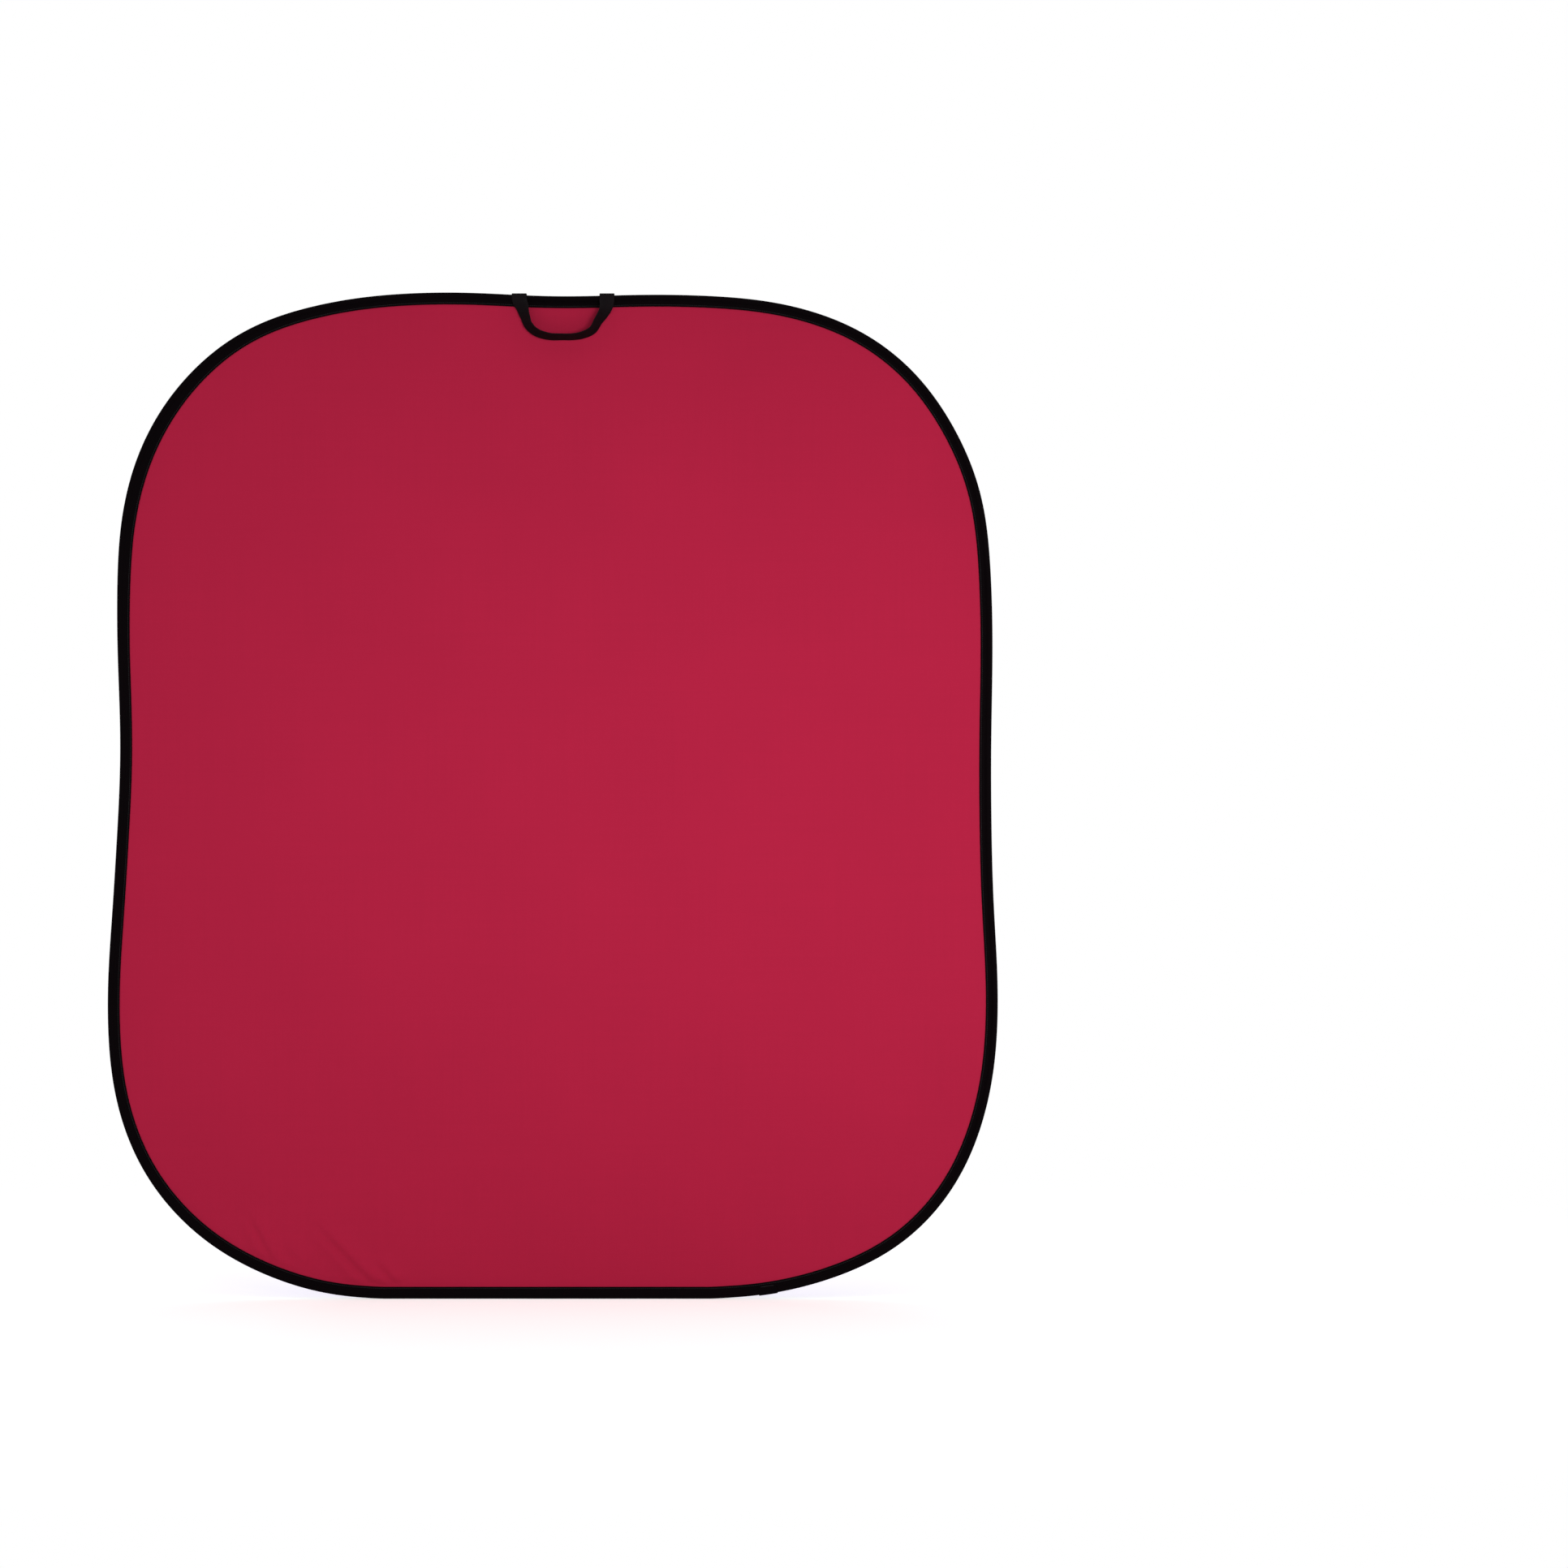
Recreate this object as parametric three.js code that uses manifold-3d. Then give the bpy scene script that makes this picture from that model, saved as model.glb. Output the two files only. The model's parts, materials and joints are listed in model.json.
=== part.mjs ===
// Collapsible reversible backdrop panel: a sprung steel hoop sewn into the edge of a two-faced cloth.
// Millimetres. +Z is up, the red face looks along -Y and the purple face along +Y.
// The origin is the middle of the bottom edge, on the panel's middle plane.
import * as THREE from 'three';
import { mergeVertices } from 'three/addons/utils/BufferGeometryUtils.js';
import Module from 'manifold-3d';

const wasm = await Module();
wasm.setup();

// Whole panel
const panelWidth = 1500;
const panelHeight = 1696;
const foldHeightShare = 0.5;

// Gaps between pieces that lie on each other, and across the fold line
const fitGap = 0.3;
const foldGap = 0.3;

// Cloth layers
const clothThickness = 0.6;
const liningThickness = 0.6;

// Sprung steel band, and the ferrule that joins its two ends
const bandWidth = 6.5;
const bandThickness = 1.2;
const bandEndGap = 0.8;
const ferruleLength = 60;
const ferruleWall = 0.7;
const crimpWidth = 4;
const crimpDepth = 0.3;
const crimpPlaceShares = [-0.36, -0.12, 0.12, 0.36];

// Binding tape, folded over the cloth's edge
const tapeThickness = 1;
const bindingWidth = 20;
const cornerExtraWidth = 5;
const cornerReach = 260;
const cornerPlaceShares = { x: -0.92, z: 0.86 };
const edgeFlatWidth = 7.2;
const crownSlack = 0.9;
const channelDepth = 5.8;
const taperLength = 4.7;
const clothTuck = 2;

// Lap where the tape's two ends meet, with a bar tack through it on each face
const lapLength = 32;
const lapReach = 14.5;
const lapPlaceShare = 0.065;
const bartackWidth = 1.6;
const bartackHeight = 0.5;
const bartackSetback = 5;

// Seam thread along the binding's inner edge
const threadWidth = 0.9;
const threadHeight = 0.45;
const seamSetback = 3;

// Webbing handle at the top
const webbingWidth = 25;
const webbingThickness = 1.8;
const handleSpacing = 148;
const handleOffset = 17;
const handleEndSetback = 1;
const loopDrop = 71;
const loopStandOff = 16;
const bowTurn = THREE.MathUtils.degToRad(70);
const boxStitchMargin = 0.6;
const boxStitchSideMargin = 3;

// How finely the curved pieces are divided
const halfStations = 60;
const bandStations = 120;
const loopStations = 48;
const arcSteps = 2;
const lapSteps = 4;
const searchSteps = 50;
const curveDivisions = 2400;
const outlinePoints = 240;
const easingPasses = 12;

// The rim's outline, from the bottom middle up the right side and down the left, as [x, z] shares of the
// half width and the height. The sides draw in at the waist. Below the floor the bottom edge is cut flat.
const outlineShares = [
  [0, -0.0006], [0.3, -0.0006], [0.52, 0.0075], [0.729, 0.04], [0.845, 0.08], [0.93, 0.135],
  [0.985, 0.212], [1, 0.295], [0.989, 0.41], [0.985, 0.52], [0.986, 0.7], [0.963, 0.798],
  [0.91, 0.858], [0.82, 0.917], [0.69, 0.962], [0.515, 0.989], [0.28, 0.998], [0, 0.9965],
  [-0.24, 1.0005], [-0.48, 0.992], [-0.69, 0.963], [-0.83, 0.913], [-0.92, 0.852], [-0.968, 0.78],
  [-0.98, 0.68], [-0.973, 0.54], [-0.987, 0.41], [-1.001, 0.295], [-0.985, 0.205], [-0.93, 0.135],
  [-0.84, 0.081], [-0.72, 0.04], [-0.521, 0.0062], [-0.3, -0.0006],
];

// Stretches of the rim, as shares of its length, that hold its right side and its left side.
const rightSideShares = [0.1, 0.4];
const leftSideShares = [0.6, 0.9];

// The hanging loop from its left end to its right end: x as a share of half the spacing, z of the drop,
// y of the stand-off, and turn of the webbing's turn at the bow.
const loopShares = [
  { x: -1, z: 0, y: 0, turn: 0 },
  { x: -1, z: 0.1, y: 0.03, turn: 0 },
  { x: -0.975, z: 0.18, y: 0.12, turn: 0.16 },
  { x: -0.93, z: 0.28, y: 0.26, turn: 0.42 },
  { x: -0.86, z: 0.515, y: 0.54, turn: 0.7 },
  { x: -0.775, z: 0.745, y: 0.78, turn: 0.8 },
  { x: -0.6, z: 0.915, y: 0.91, turn: 0.88 },
  { x: -0.3, z: 1.015, y: 0.98, turn: 0.96 },
  { x: 0, z: 1.025, y: 1, turn: 1 },
  { x: 0.2, z: 1.025, y: 0.99, turn: 1 },
  { x: 0.44, z: 0.985, y: 0.95, turn: 0.96 },
  { x: 0.68, z: 0.86, y: 0.86, turn: 0.9 },
  { x: 0.81, z: 0.635, y: 0.69, turn: 0.84 },
  { x: 0.94, z: 0.41, y: 0.44, turn: 0.64 },
  { x: 0.985, z: 0.27, y: 0.25, turn: 0.38 },
  { x: 0.997, z: 0.185, y: 0.12, turn: 0.15 },
  { x: 1, z: 0.1, y: 0.03, turn: 0 },
  { x: 1, z: 0, y: 0, turn: 0 },
];

const halfWidth = panelWidth / 2;
const foldHeight = panelHeight * foldHeightShare;

// Half thicknesses, from the panel's middle plane outwards
const liningHalf = liningThickness / 2;
const clothInnerHalf = liningHalf + fitGap;
const clothOuterHalf = clothInnerHalf + clothThickness;
const hemInnerHalf = clothOuterHalf + fitGap;
const hemOuterHalf = hemInnerHalf + tapeThickness;
const seamInnerHalf = hemOuterHalf + fitGap;
const seamOuterHalf = seamInnerHalf + threadHeight;
const ferruleHalf = bandWidth / 2 + fitGap + ferruleWall;
const channelHalf = ferruleHalf + fitGap;
const rimHalf = channelHalf + tapeThickness;
const edgeFlatHalf = edgeFlatWidth / 2;
const edgeRadius = rimHalf - edgeFlatHalf;

// Depths, from the rim's outer edge inwards
const ferruleOuterDepth = tapeThickness + crownSlack;
const bandOuterDepth = ferruleOuterDepth + ferruleWall + fitGap;
const bandInnerDepth = bandOuterDepth + bandThickness;
const ferruleInnerDepth = bandInnerDepth + fitGap + ferruleWall;
const channelEndDepth = tapeThickness + channelDepth;
const taperEndDepth = channelEndDepth + taperLength;
const clothEdgeDepth = taperEndDepth - clothTuck;
const handleEndDepth = bindingWidth - handleEndSetback;
const taperAngle = Math.atan2(rimHalf - hemOuterHalf, taperLength);

const palette = {
  redCloth: { color: 0xb0243f, roughness: 0.9, metalness: 0 },
  purpleCloth: { color: 0x744ca5, roughness: 0.9, metalness: 0 },
  lining: { color: 0x1a1a1c, roughness: 0.95, metalness: 0 },
  tape: { color: 0x0d0b0d, roughness: 0.8, metalness: 0 },
  thread: { color: 0x161416, roughness: 0.7, metalness: 0 },
  webbing: { color: 0x0f0c10, roughness: 0.75, metalness: 0 },
  springSteel: { color: 0x565a60, roughness: 0.35, metalness: 1 },
  zincSteel: { color: 0x9da3a8, roughness: 0.4, metalness: 1 },
};

const panel = new THREE.Group();

function addPiece(name, geometry, finish, x = 0, y = 0, z = 0) {
  geometry.computeVertexNormals();
  const mesh = new THREE.Mesh(geometry, new THREE.MeshStandardMaterial(palette[finish]));
  mesh.name = name;
  mesh.position.set(x, y, z);
  panel.add(mesh);
}

// Draws each point of a closed row towards its two neighbours, several times.
function eased(row) {
  let points = row;
  for (let pass = 0; pass < easingPasses; pass += 1) {
    const before = [points.at(-1), ...points];
    const after = [...points.slice(1), points[0]];
    points = points.map((point, index) => point.clone().multiplyScalar(2)
      .add(before[index]).add(after[index]).divideScalar(4));
  }
  return points;
}

// The outline as a sprung hoop takes it, with no sudden change of bend. What the first easing draws in at the
// corners is given back by a second one.
function easedOutline() {
  const rough = new THREE.CatmullRomCurve3(
    outlineShares.map(([x, z]) => new THREE.Vector3(x * halfWidth, 0, z * panelHeight)),
    true,
    'centripetal',
  );
  rough.arcLengthDivisions = curveDivisions;
  const once = eased(rough.getSpacedPoints(outlinePoints).slice(0, -1));
  const twice = eased(once);
  return once.map((point, index) => point.clone().multiplyScalar(2).sub(twice[index]));
}

// The rim's curve. A place on it is a share of its length, counted from the bottom middle.
const rimCurve = new THREE.CatmullRomCurve3(easedOutline(), true, 'centripetal');
rimCurve.arcLengthDivisions = curveDivisions;
const rimLength = rimCurve.getLength();

// A station on the rim: a point of the outer edge and the direction inwards, in the XZ plane.
function rimStation(share) {
  const wrapped = ((share % 1) + 1) % 1;
  const point = rimCurve.getPointAt(wrapped);
  const along = rimCurve.getTangentAt(wrapped);
  if (point.z <= 0) {
    return { x: point.x, z: 0, inX: 0, inZ: 1 };
  }
  return { x: point.x, z: point.z, inX: -along.z, inZ: along.x };
}

// The share of the rim, within a stretch, where a test of its station turns true.
function findShare([low, high], passed) {
  let before = low;
  let after = high;
  for (let step = 0; step < searchSteps; step += 1) {
    const middle = (before + after) / 2;
    if (passed(rimStation(middle))) {
      after = middle;
    } else {
      before = middle;
    }
  }
  return (before + after) / 2;
}

const rightFoldShare = findShare(rightSideShares, (station) => station.z > foldHeight);
const leftFoldShare = findShare(leftSideShares, (station) => station.z < foldHeight);

// Stations of the upper or the lower half, which stop half a gap from the fold line.
function halfRim(half) {
  const isUpper = half === 'upper';
  const start = isUpper ? rightFoldShare : leftFoldShare;
  const end = isUpper ? leftFoldShare : 1 + rightFoldShare;
  const endHeight = foldHeight + (isUpper ? foldGap : -foldGap) / 2;
  const stations = [];
  for (let index = 0; index <= halfStations; index += 1) {
    const station = rimStation(start + ((end - start) * index) / halfStations);
    if (index === 0 || index === halfStations) {
      station.z = endHeight;
      station.inX = -Math.sign(station.x);
      station.inZ = 0;
    }
    stations.push(station);
  }
  return stations;
}

// Width of the binding at a station. It is wider round the upper left corner, where the tape rolls forward.
function bindingWidthAt(station) {
  const away = Math.hypot(
    station.x - cornerPlaceShares.x * halfWidth,
    station.z - cornerPlaceShares.z * panelHeight,
  );
  return bindingWidth + cornerExtraWidth * Math.exp(-((away / cornerReach) ** 2));
}

// Turns a closed body's faces outwards, if its volume comes out negative.
function facingOut(geometry) {
  const position = geometry.attributes.position;
  const index = geometry.index.array;
  const [a, b, c] = [new THREE.Vector3(), new THREE.Vector3(), new THREE.Vector3()];
  let volume = 0;
  for (let face = 0; face < index.length; face += 3) {
    a.fromBufferAttribute(position, index[face]);
    b.fromBufferAttribute(position, index[face + 1]);
    c.fromBufferAttribute(position, index[face + 2]);
    volume += a.dot(b.cross(c));
  }
  if (volume < 0) {
    for (let face = 0; face < index.length; face += 3) {
      [index[face], index[face + 1]] = [index[face + 1], index[face]];
    }
  }
  return geometry;
}

// Joins rings of corners, one ring for each step along a path, into a body closed at both ends.
function loft(rings, section) {
  const size = section.length;
  const last = (rings.length - 1) * size;
  const faces = [];
  for (let ring = 0; ring < last; ring += size) {
    for (let corner = 0; corner < size; corner += 1) {
      const beside = (corner + 1) % size;
      faces.push([ring + corner, ring + beside, ring + size + beside]);
      faces.push([ring + corner, ring + size + beside, ring + size + corner]);
    }
  }
  const outline = section.map(([across, through]) => new THREE.Vector2(across, through));
  const clockwise = THREE.ShapeUtils.isClockWise(outline);
  for (const [a, b, c] of THREE.ShapeUtils.triangulateShape(outline, [])) {
    faces.push(clockwise ? [a, b, c] : [a, c, b]);
    faces.push(clockwise ? [last + a, last + c, last + b] : [last + a, last + b, last + c]);
  }
  const geometry = new THREE.BufferGeometry();
  const numbers = rings.flat().flatMap((point) => point.toArray());
  geometry.setAttribute('position', new THREE.Float32BufferAttribute(numbers, 3));
  geometry.setIndex(faces.flat());
  return facingOut(geometry);
}

// Sweeps a section along the rim. The section gives its [depth, y] corners at a station.
function sweepRim(stations, sectionAt) {
  const rings = stations.map((station) => sectionAt(station).map(([depth, y]) => new THREE.Vector3(
    station.x + station.inX * depth,
    y,
    station.z + station.inZ * depth,
  )));
  return loft(rings, sectionAt(stations[0]));
}

// Corners of the folded tape on the +y side, from the hem to the outer edge, pushed outwards by an offset.
function tapeSide(reach, offset) {
  const shift = offset * Math.tan(taperAngle / 2);
  const corners = [
    [reach, hemOuterHalf + offset],
    [taperEndDepth + shift, hemOuterHalf + offset],
    [channelEndDepth + shift, rimHalf + offset],
  ];
  for (let step = arcSteps; step >= 0; step -= 1) {
    const angle = ((step / arcSteps) * Math.PI) / 2;
    corners.push([
      edgeRadius - (edgeRadius + offset) * Math.cos(angle),
      edgeFlatHalf + (edgeRadius + offset) * Math.sin(angle),
    ]);
  }
  return corners;
}

// The folded tape's section: in over the rim on one face, round the edge and back on the other face, then
// the same along its inside.
function tapeSection(reach, outerOffset, innerOffset) {
  const outer = tapeSide(reach, outerOffset);
  const inner = tapeSide(reach, innerOffset);
  const flip = (corners) => corners.map(([depth, y]) => [depth, -y]);
  return [...outer, ...flip(outer).reverse(), ...flip(inner), ...inner.reverse()];
}

function addBinding(half) {
  const section = (station) => tapeSection(bindingWidthAt(station), 0, -tapeThickness);
  addPiece(`${half}_binding`, sweepRim(halfRim(half), section), 'tape');
}

// A flat layer of cloth that fills one half of the rim and is tucked into the binding all round.
function clothLayer(half, thickness) {
  const outline = halfRim(half).map((station) => new THREE.Vector2(
    station.x + station.inX * clothEdgeDepth,
    station.z + station.inZ * clothEdgeDepth,
  ));
  const shape = new THREE.Shape(outline);
  const layer = new THREE.ExtrudeGeometry(shape, { depth: thickness, bevelEnabled: false });
  layer.rotateX(Math.PI / 2);
  return layer;
}

function addCloths(half) {
  addPiece(`red_cloth_${half}`, clothLayer(half, clothThickness), 'redCloth', 0, -clothInnerHalf);
  addPiece(`lining_${half}`, clothLayer(half, liningThickness), 'lining', 0, liningHalf);
  addPiece(`purple_cloth_${half}`, clothLayer(half, clothThickness), 'purpleCloth', 0, clothOuterHalf);
}

// A row of seam thread on the hem, a little in from the binding's inner edge.
function addSeam(half, face) {
  const side = face === 'front' ? -1 : 1;
  const section = (station) => {
    const depth = bindingWidthAt(station) - seamSetback;
    return [
      [depth - threadWidth / 2, side * seamInnerHalf],
      [depth - threadWidth / 2, side * seamOuterHalf],
      [depth + threadWidth / 2, side * seamOuterHalf],
      [depth + threadWidth / 2, side * seamInnerHalf],
    ];
  };
  addPiece(`${face}_stitching_${half}`, sweepRim(halfRim(half), section), 'thread');
}

// The steel band runs all the way round inside the binding. It starts and ends in the ferrule.
function addSpringBand() {
  const startShare = bandEndGap / 2 / rimLength;
  const stations = [];
  for (let index = 0; index <= bandStations; index += 1) {
    stations.push(rimStation(THREE.MathUtils.lerp(startShare, 1 - startShare, index / bandStations)));
  }
  const section = () => [
    [bandOuterDepth, -bandWidth / 2],
    [bandOuterDepth, bandWidth / 2],
    [bandInnerDepth, bandWidth / 2],
    [bandInnerDepth, -bandWidth / 2],
  ];
  addPiece('spring_band', sweepRim(stations, section), 'springSteel');
}

function toSolid(geometry) {
  const bare = geometry.clone();
  bare.deleteAttribute('normal');
  bare.deleteAttribute('uv');
  const merged = mergeVertices(bare);
  return new wasm.Manifold(new wasm.Mesh({
    numProp: 3,
    vertProperties: new Float32Array(merged.attributes.position.array),
    triVerts: new Uint32Array(merged.index.array),
  }));
}

function toGeometry(solid) {
  const mesh = solid.getMesh();
  const geometry = new THREE.BufferGeometry();
  geometry.setAttribute('position', new THREE.BufferAttribute(mesh.vertProperties, 3));
  geometry.setIndex(new THREE.BufferAttribute(mesh.triVerts, 1));
  return geometry;
}

function rectangle(width, height) {
  return new THREE.Shape([
    new THREE.Vector2(-width / 2, -height / 2),
    new THREE.Vector2(width / 2, -height / 2),
    new THREE.Vector2(width / 2, height / 2),
    new THREE.Vector2(-width / 2, height / 2),
  ]);
}

// Flat steel sleeve over the band's two ends, with crimps pressed into both broad sides.
function addFerrule() {
  const sleeveHeight = ferruleInnerDepth - ferruleOuterDepth;
  const profile = rectangle(2 * ferruleHalf, sleeveHeight);
  const bore = rectangle(bandWidth + 2 * fitGap, bandThickness + 2 * fitGap);
  profile.holes.push(new THREE.Path(bore.getPoints()));
  const sleeve = new THREE.ExtrudeGeometry(profile, { depth: ferruleLength, bevelEnabled: false });
  sleeve.translate(0, 0, -ferruleLength / 2);
  sleeve.rotateZ(Math.PI / 2);
  sleeve.rotateY(Math.PI / 2);
  let solid = toSolid(sleeve);
  for (const place of crimpPlaceShares) {
    for (const side of [-1, 1]) {
      const crimp = new THREE.BoxGeometry(crimpWidth, 2 * channelHalf, 2 * crimpDepth);
      crimp.translate(place * ferruleLength, 0, (side * sleeveHeight) / 2);
      solid = solid.subtract(toSolid(crimp));
    }
  }
  const sleeveDepth = (ferruleOuterDepth + ferruleInnerDepth) / 2;
  addPiece('band_ferrule', toGeometry(solid), 'zincSteel', 0, 0, sleeveDepth);
}

// The tape's end, lapped over its start, and the bar tack that holds it on each face.
function addLap() {
  const stations = [];
  for (let index = 0; index <= lapSteps; index += 1) {
    const along = (index / lapSteps - 1 / 2) * lapLength;
    stations.push(rimStation(lapPlaceShare + along / rimLength));
  }
  const section = () => tapeSection(lapReach, fitGap + tapeThickness, fitGap);
  addPiece('binding_lap', sweepRim(stations, section), 'tape');

  const middle = rimStation(lapPlaceShare);
  const depth = (taperEndDepth + lapReach) / 2;
  const tackHalf = hemOuterHalf + fitGap + tapeThickness + fitGap + bartackHeight / 2;
  for (const [face, side] of [['front', -1], ['rear', 1]]) {
    const tack = new THREE.BoxGeometry(lapLength - 2 * bartackSetback, bartackHeight, bartackWidth);
    tack.rotateY(Math.atan2(middle.inX, middle.inZ));
    const x = middle.x + middle.inX * depth;
    const z = middle.z + middle.inZ * depth;
    addPiece(`lap_bartack_${face}`, tack, 'thread', x, side * tackHalf, z);
  }
}

// Lowest and highest point of the rim's edge under a strap of webbing.
function rimUnderStrap(x) {
  const heights = [-1, 0, 1].map((side) => {
    const place = x + (side * webbingWidth) / 2;
    return rimStation(findShare([rightFoldShare, leftFoldShare], (station) => station.x < place)).z;
  });
  return { low: Math.min(...heights), high: Math.max(...heights) };
}

const handleSides = [
  { side: 'left', x: handleOffset - handleSpacing / 2 },
  { side: 'right', x: handleOffset + handleSpacing / 2 },
];
const handleSeat = Math.max(...handleSides.map(({ x }) => rimUnderStrap(x).high));
const strapInnerHalf = rimHalf + fitGap;
const strapOuterHalf = strapInnerHalf + webbingThickness;
const sewnInnerHalf = seamOuterHalf + fitGap;
const sewnOuterHalf = sewnInnerHalf + webbingThickness;
const crossoverBottom = handleSeat + fitGap;
const strapTaper = Math.atan2(strapInnerHalf - sewnInnerHalf, taperLength);
const strapShift = webbingThickness * Math.tan(strapTaper / 2);

// The webbing's end is sewn flat on the purple face's hem and rises to the rim's outer edge.
function addHandleEnd({ side, x }) {
  const edge = rimUnderStrap(x).low;
  const profile = new THREE.Shape([
    new THREE.Vector2(sewnInnerHalf, edge - handleEndDepth),
    new THREE.Vector2(sewnOuterHalf, edge - handleEndDepth),
    new THREE.Vector2(sewnOuterHalf, edge - taperEndDepth - strapShift),
    new THREE.Vector2(strapOuterHalf, edge - channelEndDepth - strapShift),
    new THREE.Vector2(strapOuterHalf, handleSeat),
    new THREE.Vector2(strapInnerHalf, handleSeat),
    new THREE.Vector2(strapInnerHalf, edge - channelEndDepth),
    new THREE.Vector2(sewnInnerHalf, edge - taperEndDepth),
  ]);
  const strap = new THREE.ExtrudeGeometry(profile, { depth: webbingWidth, bevelEnabled: false });
  strap.rotateX(Math.PI / 2);
  strap.rotateZ(Math.PI / 2);
  addPiece(`handle_end_${side}`, strap, 'webbing', x - webbingWidth / 2);
}

// Box stitching: a rectangle of thread with a cross inside it, which leaves four windows.
function boxStitchShape(width, height) {
  const shape = rectangle(width, height);
  const w = width / 2 - threadWidth;
  const h = height / 2 - threadWidth;
  const slant = threadWidth * (w / h);
  const windows = [
    [[slant - w, -h], [w - slant, -h], [0, -threadWidth]],
    [[slant - w, h], [w - slant, h], [0, threadWidth]],
    [[-w, threadWidth - h], [-w, h - threadWidth], [-slant, 0]],
    [[w, threadWidth - h], [w, h - threadWidth], [slant, 0]],
  ];
  for (const corners of windows) {
    shape.holes.push(new THREE.Path(corners.map(([across, up]) => new THREE.Vector2(across, up))));
  }
  return shape;
}

function addHandleStitching({ side, x }) {
  const top = taperEndDepth + strapShift + boxStitchMargin;
  const bottom = handleEndDepth - boxStitchMargin;
  const shape = boxStitchShape(webbingWidth - 2 * boxStitchSideMargin, bottom - top);
  const stitch = new THREE.ExtrudeGeometry(shape, { depth: threadHeight, bevelEnabled: false });
  stitch.rotateX(Math.PI / 2);
  const y = sewnOuterHalf + fitGap + threadHeight;
  addPiece(`handle_stitching_${side}`, stitch, 'thread', x, y, rimUnderStrap(x).low - (top + bottom) / 2);
}

// The short stretch that lies over the rim while the handle hangs on the red side.
function addCrossover({ side, x }) {
  const strap = new THREE.BoxGeometry(webbingWidth, 2 * strapOuterHalf, webbingThickness);
  addPiece(`handle_crossover_${side}`, strap, 'webbing', x, 0, crossoverBottom + webbingThickness / 2);
}

// The hanging loop: webbing that faces forward at its ends and has turned nearly edge-on at its bow.
function addHandleLoop() {
  const places = loopShares.map(({ x, y, z }) => new THREE.Vector3(
    (x * handleSpacing) / 2,
    -(strapInnerHalf + webbingThickness / 2) - y * loopStandOff,
    crossoverBottom - fitGap - z * loopDrop,
  ));
  const line = new THREE.CatmullRomCurve3(places, false, 'centripetal');
  const section = [[-1, -1], [1, -1], [1, 1], [-1, 1]];
  const rings = [];
  for (let index = 0; index <= loopStations; index += 1) {
    const share = index / loopStations;
    const isEnd = index === 0 || index === loopStations;
    const along = isEnd ? new THREE.Vector3(0, 0, 2 * share - 1) : line.getTangent(share);
    const spot = share * (loopShares.length - 1);
    const before = Math.min(Math.floor(spot), loopShares.length - 2);
    const [from, to] = [loopShares[before].turn, loopShares[before + 1].turn];
    const turn = THREE.MathUtils.lerp(from, to, spot - before) * bowTurn;
    const inwards = new THREE.Vector3(-along.z, 0, along.x).normalize();
    const across = inwards.multiplyScalar(Math.cos(turn)).setY(-Math.sin(turn));
    across.addScaledVector(along, -across.dot(along)).normalize();
    const through = new THREE.Vector3().crossVectors(along, across);
    rings.push(section.map(([w, t]) => line.getPoint(share)
      .addScaledVector(across, (w * webbingWidth) / 2)
      .addScaledVector(through, (t * webbingThickness) / 2)));
  }
  addPiece('handle_loop', loft(rings, section), 'webbing', handleOffset);
}

for (const half of ['upper', 'lower']) {
  addBinding(half);
  addCloths(half);
  addSeam(half, 'front');
  addSeam(half, 'rear');
}
addSpringBand();
addFerrule();
addLap();
for (const handleSide of handleSides) {
  addHandleEnd(handleSide);
  addHandleStitching(handleSide);
  addCrossover(handleSide);
}
addHandleLoop();

export default panel;
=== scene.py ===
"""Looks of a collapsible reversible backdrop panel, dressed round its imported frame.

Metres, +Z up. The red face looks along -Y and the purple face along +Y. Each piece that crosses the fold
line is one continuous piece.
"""

import json
import logging
import math
from collections.abc import Iterator
from contextlib import contextmanager
from dataclasses import dataclass, field
from enum import Enum

import bpy
import numpy as np
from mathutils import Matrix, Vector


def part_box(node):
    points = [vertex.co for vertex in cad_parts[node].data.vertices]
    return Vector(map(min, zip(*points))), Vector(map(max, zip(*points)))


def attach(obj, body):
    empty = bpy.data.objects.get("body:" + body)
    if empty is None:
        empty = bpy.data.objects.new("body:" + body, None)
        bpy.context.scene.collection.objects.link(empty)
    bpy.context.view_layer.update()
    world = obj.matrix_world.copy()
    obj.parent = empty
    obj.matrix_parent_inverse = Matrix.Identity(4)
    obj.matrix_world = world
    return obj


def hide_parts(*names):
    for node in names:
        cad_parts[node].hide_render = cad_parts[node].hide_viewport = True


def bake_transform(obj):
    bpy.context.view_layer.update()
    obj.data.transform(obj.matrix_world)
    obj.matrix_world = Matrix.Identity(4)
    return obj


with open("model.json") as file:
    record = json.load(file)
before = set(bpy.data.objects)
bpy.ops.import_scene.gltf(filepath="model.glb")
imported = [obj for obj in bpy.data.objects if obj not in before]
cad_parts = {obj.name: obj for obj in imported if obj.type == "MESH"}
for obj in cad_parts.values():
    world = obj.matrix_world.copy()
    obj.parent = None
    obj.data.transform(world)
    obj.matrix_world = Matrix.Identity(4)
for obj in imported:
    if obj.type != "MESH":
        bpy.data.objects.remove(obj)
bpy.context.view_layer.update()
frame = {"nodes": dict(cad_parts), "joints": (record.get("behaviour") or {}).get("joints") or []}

MM = 0.001

# The sharpest edge that still looks soft on cloth and on the hoop.
SOFT_EDGE = math.radians(40)

# How many radians the Wave texture turns through over each metre, at a scale of 1.
WAVE_RADIANS = 20

log = logging.getLogger("backdrop_panel")


class Face(Enum):
    """The two faces of the panel, with the sign of Y that each looks along."""

    FRONT = -1
    REAR = 1


class Side(Enum):
    """The two sides of the panel, seen from the front, with the sign of X."""

    LEFT = -1
    RIGHT = 1


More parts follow.
